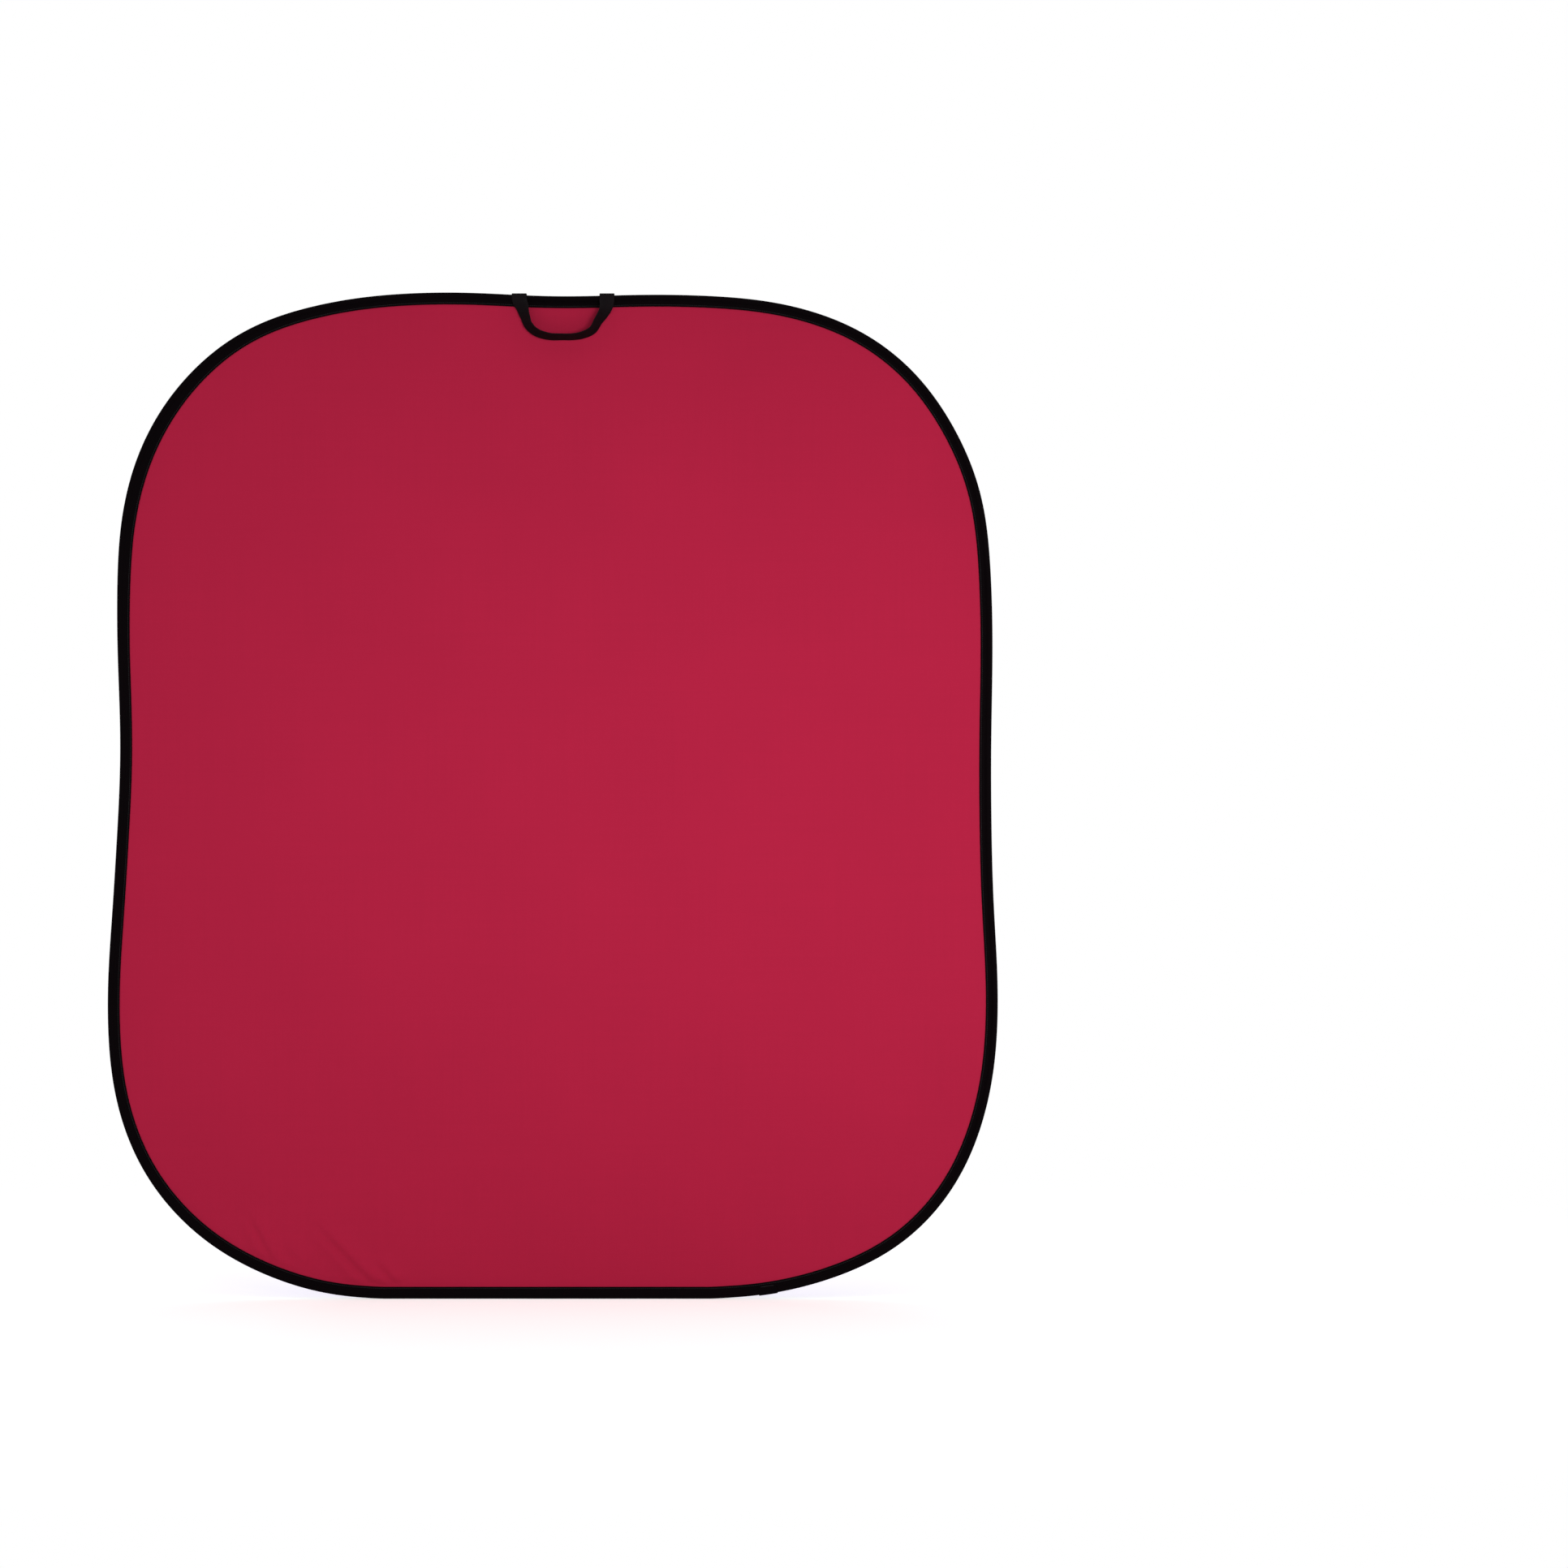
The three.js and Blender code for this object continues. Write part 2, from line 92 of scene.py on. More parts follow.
class Ribs(Enum):
    """Which way the ribs of a woven band run, with the texture axis that they are counted along."""

    ACROSS = "X"
    LENGTHWISE = "Y"


# Modelling, as by hand


def deselect_all() -> None:
    """Deselects every object."""
    bpy.ops.object.select_all(action="DESELECT")


def pick(piece: bpy.types.Object) -> None:
    """Makes a piece the only selected object, and the active one.

    Args:
        piece: The object to pick.
    """
    deselect_all()
    piece.select_set(True)
    bpy.context.view_layer.objects.active = piece


@contextmanager
def editing(piece: bpy.types.Object) -> Iterator[None]:
    """Holds a piece in edit mode with all of it selected.

    Args:
        piece: The mesh object to edit.

    Yields:
        Nothing. The piece is in edit mode meanwhile.
    """
    pick(piece)
    bpy.ops.object.mode_set(mode="EDIT")
    bpy.ops.mesh.select_all(action="SELECT")
    yield
    bpy.ops.object.mode_set(mode="OBJECT")


def get_points(mesh: bpy.types.Mesh) -> np.ndarray:
    """Reads a mesh's points.

    Args:
        mesh: The mesh.

    Returns:
        One row of x, y and z for each point.
    """
    flat = np.empty(len(mesh.vertices) * 3)
    mesh.vertices.foreach_get("co", flat)
    return flat.reshape(-1, 3)


def set_points(mesh: bpy.types.Mesh, points: np.ndarray) -> None:
    """Moves a mesh's points, given one row of x, y and z for each."""
    mesh.vertices.foreach_set("co", np.ascontiguousarray(points, dtype=float).ravel())
    mesh.update()


def set_texture_places(mesh: bpy.types.Mesh, places: np.ndarray) -> None:
    """Writes the UV map that the piece's finish follows.

    Args:
        mesh: The mesh.
        places: One row of u and v, in metres, for each point.
    """
    corners = np.empty(len(mesh.loops), dtype=np.int32)
    mesh.loops.foreach_get("vertex_index", corners)
    mesh.uv_layers[0].data.foreach_set("uv", places[corners].ravel())


def lattice(columns: int, rows: int) -> tuple[np.ndarray, np.ndarray]:
    """Gives the column and the row of each point of a lattice, one column after the other."""
    return np.divmod(np.arange(columns * rows), rows)


def shaped_grid(name: str, columns: int, points: np.ndarray, places: np.ndarray) -> bpy.types.Object:
    """Adds a grid and moves its points to those of a lattice.

    Args:
        name: The piece's name.
        columns: How many columns the lattice has.
        points: The lattice's points, one column after the other.
        places: Their UV places, in metres.

    Returns:
        The piece, with its place in its mesh.
    """
    rows = len(points) // columns
    deselect_all()
    bpy.ops.mesh.primitive_grid_add(x_subdivisions=columns - 1, y_subdivisions=rows - 1, size=1)
    piece = bpy.context.active_object
    piece.name = name
    piece.data.name = name
    shares = get_points(piece.data)[:, :2] + 1 / 2
    column, row = np.rint(shares * (columns - 1, rows - 1)).astype(int).T
    spots = column * rows + row
    set_texture_places(piece.data, places[spots])
    set_points(piece.data, points[spots])
    return piece


def close_up(piece: bpy.types.Object, weld: float = 0.01 * MM) -> None:
    """Welds a piece's doubled points, fills its open ends and turns its faces outwards.

    Args:
        piece: The mesh object.
        weld: Points nearer than this become one.
    """
    with editing(piece):
        bpy.ops.mesh.remove_doubles(threshold=weld)
        bpy.ops.mesh.fill_holes(sides=0)
        bpy.ops.mesh.select_all(action="SELECT")
        bpy.ops.mesh.normals_make_consistent(inside=False)


def thicken(piece: bpy.types.Object, thickness: float) -> None:
    """Gives a sheet its thickness, half to each side.

    Args:
        piece: The mesh object, one surface thick.
        thickness: The sheet's thickness.
    """
    pick(piece)
    bpy.ops.object.modifier_add(type="SOLIDIFY")
    modifier = piece.modifiers[-1]
    modifier.thickness = thickness
    modifier.offset = 0
    modifier.use_even_offset = True
    bpy.ops.object.modifier_apply(modifier=modifier.name)


def shade_smooth(piece: bpy.types.Object, angle: float) -> None:
    """Shades a piece smooth, apart from edges sharper than an angle."""
    pick(piece)
    bpy.ops.object.shade_smooth_by_angle(angle=angle)


def scattered(name: str, unit: bpy.types.Object, places: np.ndarray, axes: np.ndarray) -> bpy.types.Object:
    """Copies a small shape to many places, as one piece.

    Args:
        name: The piece's name.
        unit: The shape, modelled about the origin. It is removed.
        places: Where each copy goes, one row of x, y and z for each.
        axes: Each copy's own x, y and z axis, as the rows of a 3 by 3 matrix.

    Returns:
        The piece, with its place in its mesh.
    """
    points = get_points(unit.data)
    moved = places[:, None, :] + np.einsum("pi,cij->cpj", points, axes)
    faces = [tuple(face.vertices) for face in unit.data.polygons]
    step = len(points)
    mesh = bpy.data.meshes.new(name)
    mesh.from_pydata(
        moved.reshape(-1, 3).tolist(),
        [],
        [tuple(corner + step * copy for corner in face) for copy in range(len(places)) for face in faces],
    )
    unit_map = np.empty(len(unit.data.loops) * 2)
    unit.data.uv_layers[0].data.foreach_get("uv", unit_map)
    mesh.uv_layers.new(name="UVMap")
    mesh.uv_layers[0].data.foreach_set("uv", np.tile(unit_map, len(places)))
    piece = bpy.data.objects.new(name, mesh)
    bpy.context.scene.collection.objects.link(piece)
    bpy.data.objects.remove(unit)
    return piece


def smooth_step(value: np.ndarray) -> np.ndarray:
    """Eases values from 0 to 1. Below 0 counts as 0, and above 1 as 1."""
    held = np.clip(value, 0, 1)
    return held * held * (3 - 2 * held)


def unit_vectors(vectors: np.ndarray) -> np.ndarray:
    """Scales each row to length 1."""
    return vectors / np.linalg.norm(vectors, axis=-1, keepdims=True)


def path_lengths(points: np.ndarray) -> np.ndarray:
    """Measures a path from its start to each of its points."""
    steps = np.linalg.norm(np.diff(points, axis=0), axis=1)
    return np.concatenate([[0], np.cumsum(steps)])


def upright(flat: np.ndarray, offset: np.ndarray | float = 0.0) -> np.ndarray:
    """Gives rows of x and z their Y, one for all or one for each row."""
    return np.column_stack([flat[:, 0], np.broadcast_to(offset, len(flat)), flat[:, 1]])


# Materials


def linear(code: str) -> tuple[float, float, float, float]:
    """Turns an sRGB hex colour to linear light.

    Args:
        code: The colour as six hex digits.

    Returns:
        Red, green, blue and an alpha of 1.
    """
    channels = (int(code[place : place + 2], 16) / 255 for place in (0, 2, 4))
    red, green, blue = (c / 12.92 if c <= 0.04045 else ((c + 0.055) / 1.055) ** 2.4 for c in channels)
    return (red, green, blue, 1.0)


def add_node(
    tree: bpy.types.NodeTree,
    kind: str,
    inputs: dict[str | int, object] | None = None,
    **settings: object,
) -> bpy.types.Node:
    """Adds a node with its settings, values and links.

    Args:
        tree: The node tree.
        kind: The node's type, without its leading ShaderNode.
        inputs: For each input socket, its value, or the output socket that is linked to it.
        **settings: The node's own properties.

    Returns:
        The node.
    """
    node = tree.nodes.new("ShaderNode" + kind)
    for name, value in settings.items():
        setattr(node, name, value)
    for name, value in (inputs or {}).items():
        if isinstance(value, bpy.types.NodeSocket):
            tree.links.new(value, node.inputs[name])
        else:
            node.inputs[name].default_value = value
    return node


def new_tree(material: bpy.types.Material) -> tuple[bpy.types.NodeTree, bpy.types.Node]:
    """Empties a material's node tree, down to its output.

    Args:
        material: The material.

    Returns:
        The tree and its output node.
    """
    material.use_nodes = True
    tree = material.node_tree
    tree.nodes.clear()
    return tree, add_node(tree, "OutputMaterial")


def uv_places(tree: bpy.types.NodeTree) -> bpy.types.NodeSocket:
    """Gives the places of a piece's UV map, which are in metres."""
    return add_node(tree, "UVMap", uv_map="UVMap").outputs[0]


def add_bands(
    tree: bpy.types.NodeTree, places: bpy.types.NodeSocket, spacing: float, direction: str
) -> bpy.types.NodeSocket:
    """Adds even bands, such as threads or ribs.

    Args:
        tree: The node tree.
        places: The places that the bands are counted on, in metres.
        spacing: The distance from one band to the next, in metres.
        direction: The axis that they follow each other along, or DIAGONAL.

    Returns:
        A value from 0 to 1.
    """
    inputs = {"Vector": places, "Scale": 2 * math.pi / (WAVE_RADIANS * spacing)}
    wave = add_node(tree, "TexWave", inputs, wave_type="BANDS", bands_direction=direction)
    return wave.outputs["Fac"]


def add_blotches(
    tree: bpy.types.NodeTree, places: bpy.types.NodeSocket, sizes: tuple[float, float, float], detail: float
) -> bpy.types.NodeSocket:
    """Adds noise: round blotches, or streaks where their sizes differ.

    Args:
        tree: The node tree.
        places: The places that the blotches lie on, in metres.
        sizes: How long a blotch is along each axis, in metres.
        detail: How many finer levels it has.

    Returns:
        A value from 0 to 1.
    """
    stretch = tuple(1 / (2 * size) for size in sizes)
    mapped = add_node(tree, "Mapping", {"Vector": places, "Scale": stretch})
    noise = add_node(tree, "TexNoise", {"Vector": mapped.outputs[0], "Scale": 1.0, "Detail": detail})
    return noise.outputs[0]


def add_range(
    tree: bpy.types.NodeTree, value: bpy.types.NodeSocket, low: float, high: float
) -> bpy.types.NodeSocket:
    """Stretches a value from 0 to 1 over the range from low to high."""
    return add_node(tree, "MapRange", {"Value": value, "To Min": low, "To Max": high}).outputs[0]


def add_mix(
    tree: bpy.types.NodeTree, share: float, first: bpy.types.NodeSocket, second: bpy.types.NodeSocket
) -> bpy.types.NodeSocket:
    """Mixes two values, by the share of the second."""
    return add_node(tree, "Mix", {0: share, 2: first, 3: second}, data_type="FLOAT").outputs[0]


def add_surface(
    tree: bpy.types.NodeTree,
    inputs: dict[str | int, object],
    height: bpy.types.NodeSocket,
    strength: float,
    distance: float,
) -> bpy.types.Node:
    """Adds a surface with a relief, which rises by the distance where its height is 1."""
    bump = add_node(tree, "Bump", {"Strength": strength, "Distance": distance, "Height": height})
    return add_node(tree, "BsdfPrincipled", {**inputs, "Normal": bump.outputs[0]})


@dataclass(frozen=True)
class Finish:
    """What a surface is made of. Each kind of finish builds its own node tree."""

    name: str
    colour: str
    roughness: float

    def material(self) -> bpy.types.Material:
        """Gives the finish's material, made at its first use.

        Returns:
            The material.
        """
        found = bpy.data.materials.get(self.name)
        if found is None:
            found = bpy.data.materials.new(self.name)
            tree, output = new_tree(found)
            shader = self.build(tree)
            tree.links.new(shader.outputs[0], output.inputs["Surface"])
        return found

    def build(self, tree: bpy.types.NodeTree) -> bpy.types.Node:
        """Builds the finish's nodes in an empty tree, and gives the shader."""
        raise NotImplementedError

    def dress(self, piece: bpy.types.Object) -> None:
        """Puts the finish on a piece, in place of any other."""
        piece.data.materials.clear()
        piece.data.materials.append(self.material())

    def tone_and_shade_colour(
        self, tree: bpy.types.NodeTree, pattern: bpy.types.NodeSocket, low: float, high: float
    ) -> bpy.types.NodeSocket:
        """Scales the finish's colour from low, where a pattern is 0, to high, where it is 1. On cloth and
        steel the pattern is uneven tone; on thread it is painted shade and highlight.
        """
        inputs = {0: 1.0, 6: linear(self.colour), 7: add_range(tree, pattern, low, high)}
        return add_node(tree, "Mix", inputs, data_type="RGBA", blend_type="MULTIPLY").outputs[2]


@dataclass(frozen=True)
class WovenFinish(Finish):
    """Anything woven: threads that pass over and under each other, with thicker threads here and there.

    The pattern follows the piece's UV map, which is in metres. Up close it shows the threads, and from a
    step away the streaks and blotches that uneven yarn leaves.
    """

    warp_spacing: float = 1.0 * MM
    weft_spacing: float = 1.0 * MM
    ribs: Ribs = Ribs.ACROSS
    rib_spacing: float = 1.0 * MM
    rib_share: float = 0.0
    thread_height: float = 0.15 * MM
    thread_strength: float = 0.4
    slub_width: float = 1.6 * MM
    slub_length: float = 130 * MM
    slub_contrast: float = 0.05
    slub_height_share: float = 0.2
    slub_roughness: float = 0.05
    slub_detail: float = 2.0
    blotch_size: float = 120 * MM
    blotch_contrast: float = 0.04
    blotch_detail: float = 3.0
    specular: float = 0.05

    def build(self, tree: bpy.types.NodeTree) -> bpy.types.Node:
        """Builds the weave, its slubs and its blotches.

        Args:
            tree: An empty node tree.

        Returns:
            The shader node.
        """
        places = uv_places(tree)
        slubs = self.slubs(tree, places)
        blotches = add_blotches(tree, places, (self.blotch_size,) * 3, self.blotch_detail)
        contrast = self.slub_contrast + self.blotch_contrast
        uneven = add_mix(tree, self.slub_contrast / contrast, blotches, slubs)
        smooth, rough = self.roughness - self.slub_roughness, self.roughness + self.slub_roughness
        inputs = {
            "Base Color": self.tone_and_shade_colour(tree, uneven, 1 - contrast, 1 + contrast),
            "Roughness": add_range(tree, slubs, smooth, rough),
            "Specular IOR Level": self.specular,
        }
        height = add_mix(tree, self.slub_height_share, self.weave(tree, places), slubs)
        return add_surface(tree, inputs, height, self.thread_strength, self.thread_height)

    def weave(self, tree: bpy.types.NodeTree, places: bpy.types.NodeSocket) -> bpy.types.NodeSocket:
        """Builds the height of the crossing threads, with the ribs of a band.

        Args:
            tree: The node tree.
            places: The piece's UV places.

        Returns:
            A height from 0 to 1.
        """
        warp = add_range(tree, add_bands(tree, places, 2 * self.warp_spacing, "X"), -1.0, 1.0)
        weft = add_range(tree, add_bands(tree, places, 2 * self.weft_spacing, "Y"), -1.0, 1.0)
        crossing = add_node(tree, "Math", {0: warp, 1: weft}, operation="MULTIPLY")
        raised = add_node(tree, "MapRange", {"Value": crossing.outputs[0], "From Min": -1.0})
        ribs = add_bands(tree, places, self.rib_spacing, self.ribs.value)
        return add_mix(tree, self.rib_share, raised.outputs[0], ribs)

    def slubs(self, tree: bpy.types.NodeTree, places: bpy.types.NodeSocket) -> bpy.types.NodeSocket:
        """Builds the long thin streaks of thicker yarn, along both threads.

        Args:
            tree: The node tree.
            places: The piece's UV places.

        Returns:
            A value from 0 to 1.
        """
        thin, long = self.slub_width, self.slub_length
        both = ((long, thin, thin), (thin, long, thin))
        streaks = (add_blotches(tree, places, sizes, self.slub_detail) for sizes in both)
        return add_mix(tree, 1 / 2, *streaks)


@dataclass(frozen=True)
class ThreadFinish(Finish):
    """Bonded sewing thread: two plies twisted together, slightly waxy. Its colour has painted shade in the
    grooves of the twist and painted highlight on the crowns.
    """

    ply_turns: float = 5.0
    # How much darker the grooves and lighter the crowns of the twist are painted: painted shade and
    # highlight.
    painted_ply_shade: float = 0.3
    ply_height: float = 0.1 * MM
    ply_strength: float = 0.5
    specular: float = 0.2

    def build(self, tree: bpy.types.NodeTree) -> bpy.types.Node:
        """Builds the twist of the thread, with painted shade and highlight that follow it.

        Args:
            tree: An empty node tree.

        Returns:
            The shader node.
        """
        twist = add_bands(tree, uv_places(tree), 1 / self.ply_turns, "DIAGONAL")
        inputs = {
            # The colour follows the twist's height: painted shade in the grooves, painted highlight on the
            # crowns.
            "Base Color": self.tone_and_shade_colour(tree, twist, 1 - self.painted_ply_shade, 1 + self.painted_ply_shade),
            "Roughness": self.roughness,
            "Specular IOR Level": self.specular,
        }
        return add_surface(tree, inputs, twist, self.ply_strength, self.ply_height)


@dataclass(frozen=True)
class SteelFinish(Finish):
    """Steel: rolled lengthwise as a band, or zinc-plated, with a slightly blotchy gloss."""

    grain: tuple[float, float, float] = (20 * MM, 0.4 * MM, 20 * MM)
    grain_detail: float = 4.0
    grain_tones: tuple[float, float] = (0.8, 1.15)
    grain_roughness: tuple[float, float] = (-0.1, 0.15)
    grain_height: float = 0.02 * MM
    grain_strength: float = 0.2
    from_uv: bool = True

    def build(self, tree: bpy.types.NodeTree) -> bpy.types.Node:
        """Builds the metal and its grain.

        Args:
            tree: An empty node tree.

        Returns:
            The shader node.
        """
        places = uv_places(tree) if self.from_uv else add_node(tree, "TexCoord").outputs["Object"]
        grain = add_blotches(tree, places, self.grain, self.grain_detail)
        smooth, rough = (self.roughness + change for change in self.grain_roughness)
        inputs = {
            "Base Color": self.tone_and_shade_colour(tree, grain, *self.grain_tones),
            "Metallic": 1.0,
            "Roughness": add_range(tree, grain, smooth, rough),
        }
        return add_surface(tree, inputs, grain, self.grain_strength, self.grain_height)


# Matt woven polyester: a deep red and a mid purple with no shine. Its weave and uneven yarn show up close.
# The threads are 0.5 mm apart on the real cloth and drawn 0.9 mm apart, so that they show.
RED_CLOTH = WovenFinish(
    "Woven_polyester_red", "B02040", 0.9, warp_spacing=0.9 * MM, weft_spacing=0.9 * MM
)
PURPLE_CLOTH = WovenFinish(
    "Woven_polyester_purple", "7247A2", 0.9, warp_spacing=0.9 * MM, weft_spacing=0.9 * MM
)

# Dense black lining that keeps one colour from showing through the other.
LINING_CLOTH = WovenFinish("Woven_lining_black", "161618", 0.95, blotch_contrast=0.1)

# Polyester binding tape: a matt grosgrain whose fine ribs run across it.
BINDING_TAPE = WovenFinish(
    "Ribbed_binding_tape_black",
    "090507",
    0.75,
    warp_spacing=0.7 * MM,
    weft_spacing=0.7 * MM,
    rib_spacing=1.4 * MM,
    rib_share=0.6,
    thread_height=0.25 * MM,
    thread_strength=0.6,
    slub_width=0.8 * MM,
    slub_length=20 * MM,
    slub_contrast=0.25,
    blotch_size=40 * MM,
    blotch_contrast=0.2,
    specular=0.02,
)

# Polypropylene webbing: coarse ribs along its length, with a slightly glossy yarn.
HANDLE_WEBBING = WovenFinish(
    "Ribbed_webbing_black",
    "0E080B",
    0.6,
    warp_spacing=1.1 * MM,
    weft_spacing=0.8 * MM,
    ribs=Ribs.LENGTHWISE,
    rib_spacing=3.2 * MM,
    rib_share=0.45,
    thread_height=0.4 * MM,
    thread_strength=0.8,
    slub_width=0.5 * MM,
    slub_length=12 * MM,
    slub_contrast=0.25,
    blotch_size=20 * MM,
    blotch_contrast=0.15,
    specular=0.06,
)

# Bonded polyester thread: round, tightly twisted, with a waxy gloss that sets it off from the tape.
# Its twist carries painted shade in the grooves and painted highlight on the crowns.
SEAM_THREAD = ThreadFinish("Bonded_thread_black", "1A171A", 0.5)

# Blued flat spring steel: a dark satin metal with a fine rolled grain along the band.
SPRING_STEEL = SteelFinish("Blued_spring_steel", "565A60", 0.35)

# Zinc plating: a lighter, cool grey metal with small patches of duller gloss.
ZINC_STEEL = SteelFinish("Zinc_plated_steel", "9DA3A8", 0.4, grain=(3 * MM, 3 * MM, 3 * MM), from_uv=False)


def closed_sweep(
    name: str,
    columns: int,
    points: np.ndarray,
    places: np.ndarray,
    finish: Finish,
    soft_edge: float = SOFT_EDGE,
) -> bpy.types.Object:
    """Builds a closed piece from the sections along a line, and dresses it.

    Args:
        name: The piece's name.
        columns: How many sections there are.
        points: The sections' points, one section after the other. Each ends where it starts.
        places: Their UV places, in metres.
        finish: What the piece is made of.
        soft_edge: The sharpest edge that still looks smooth.

    Returns:
        The piece.
    """
    piece = shaped_grid(name, columns, points, places)
    close_up(piece)
    shade_smooth(piece, soft_edge)
    finish.dress(piece)
    return piece


@dataclass(frozen=True)
class Stitch:
    """One stitch: a short length of thread that dips into the cloth at both ends."""

    length: float
    width: float
    height: float
    segments: int = 6
    fullness: float = 0.75
    soft_edge: float = math.radians(80)

    def model(self) -> bpy.types.Object:
        """Models the stitch along X.

        Returns:
            The stitch, about the origin.
        """
        deselect_all()
        bpy.ops.mesh.primitive_uv_sphere_add(
            segments=self.segments, ring_count=self.segments, radius=1 / 2, rotation=(0, math.pi / 2, 0)
        )
        stitch = bpy.context.active_object
        bpy.ops.object.transform_apply(location=False, rotation=True, scale=False)
        points = get_points(stitch.data)
        points[:, 0] = np.sign(points[:, 0]) * np.abs(2 * points[:, 0]) ** self.fullness / 2
        set_points(stitch.data, points)
        with editing(stitch):
            bpy.ops.transform.resize(value=(self.length, self.width, self.height))
        return stitch

    def sew(self, name: str, places: np.ndarray, along: np.ndarray, face: Face) -> bpy.types.Object:
        """Sews a row of stitches, as one piece.

        Args:
            name: The piece's name.
            places: Each stitch's middle.
            along: Each stitch's direction.
            face: The face of the panel that they are on.

        Returns:
            The piece.
        """
        outwards = np.broadcast_to((0, face.value, 0), along.shape)
        axes = np.stack([along, np.cross(outwards, along), outwards], axis=1)
        piece = scattered(name, self.model(), places, axes)
        shade_smooth(piece, self.soft_edge)
        SEAM_THREAD.dress(piece)
        return piece


# The rim that everything follows


class SmoothCurve:
    """A centripetal Catmull-Rom curve through points, the curve that the solids follow too."""

    divisions = 2400
    nudge = 1e-4

    def __init__(self, points: np.ndarray, closed: bool) -> None:
        """Takes the points that the curve passes through.

        Args:
            points: One point in each row.
            closed: Whether the last point joins the first.
        """
        self.spans = len(points) if closed else len(points) - 1
        before = points[-1:] if closed else 2 * points[:1] - points[1:2]
        after = points[:2] if closed else 2 * points[-1:] - points[-2:-1]
        self.corners = np.vstack([before, points, after])
        self.places = np.linspace(0, 1, self.divisions + 1)
        self.lengths = path_lengths(self.at(self.places))

    @property
    def length(self) -> float:
        """The curve's whole length."""
        return float(self.lengths[-1])

    def at(self, places: np.ndarray) -> np.ndarray:
        """Gives points of the curve.

        Args:
            places: Where on the curve, from 0 to 1, counting each span alike.

        Returns:
            One point in each row.
        """
        spot = np.clip(places, 0, 1) * self.spans
        span = np.minimum(spot.astype(int), self.spans - 1)
        weight = (spot - span)[:, None]
        p0, p1, p2, p3 = (self.corners[span + step] for step in range(4))
        pairs = ((p0, p1), (p1, p2), (p2, p3))
        d0, d1, d2 = (np.linalg.norm(b - a, axis=1, keepdims=True) ** 0.5 for a, b in pairs)
        start = ((p1 - p0) / d0 - (p2 - p0) / (d0 + d1) + (p2 - p1) / d1) * d1
        end = ((p2 - p1) / d1 - (p3 - p1) / (d1 + d2) + (p3 - p2) / d2) * d1
        squared = -3 * p1 + 3 * p2 - 2 * start - end
        cubed = 2 * p1 - 2 * p2 + start + end
        return p1 + weight * (start + weight * (squared + weight * cubed))

    def along(self, places: np.ndarray) -> np.ndarray:
        """Gives the curve's direction at each place, as a unit vector."""
        return unit_vectors(self.at(places + self.nudge) - self.at(places - self.nudge))

    def places_of(self, shares: np.ndarray) -> np.ndarray:
        """Turns shares of the curve's length into places, which count each span alike."""
        return np.interp(shares * self.length, self.lengths, self.places)


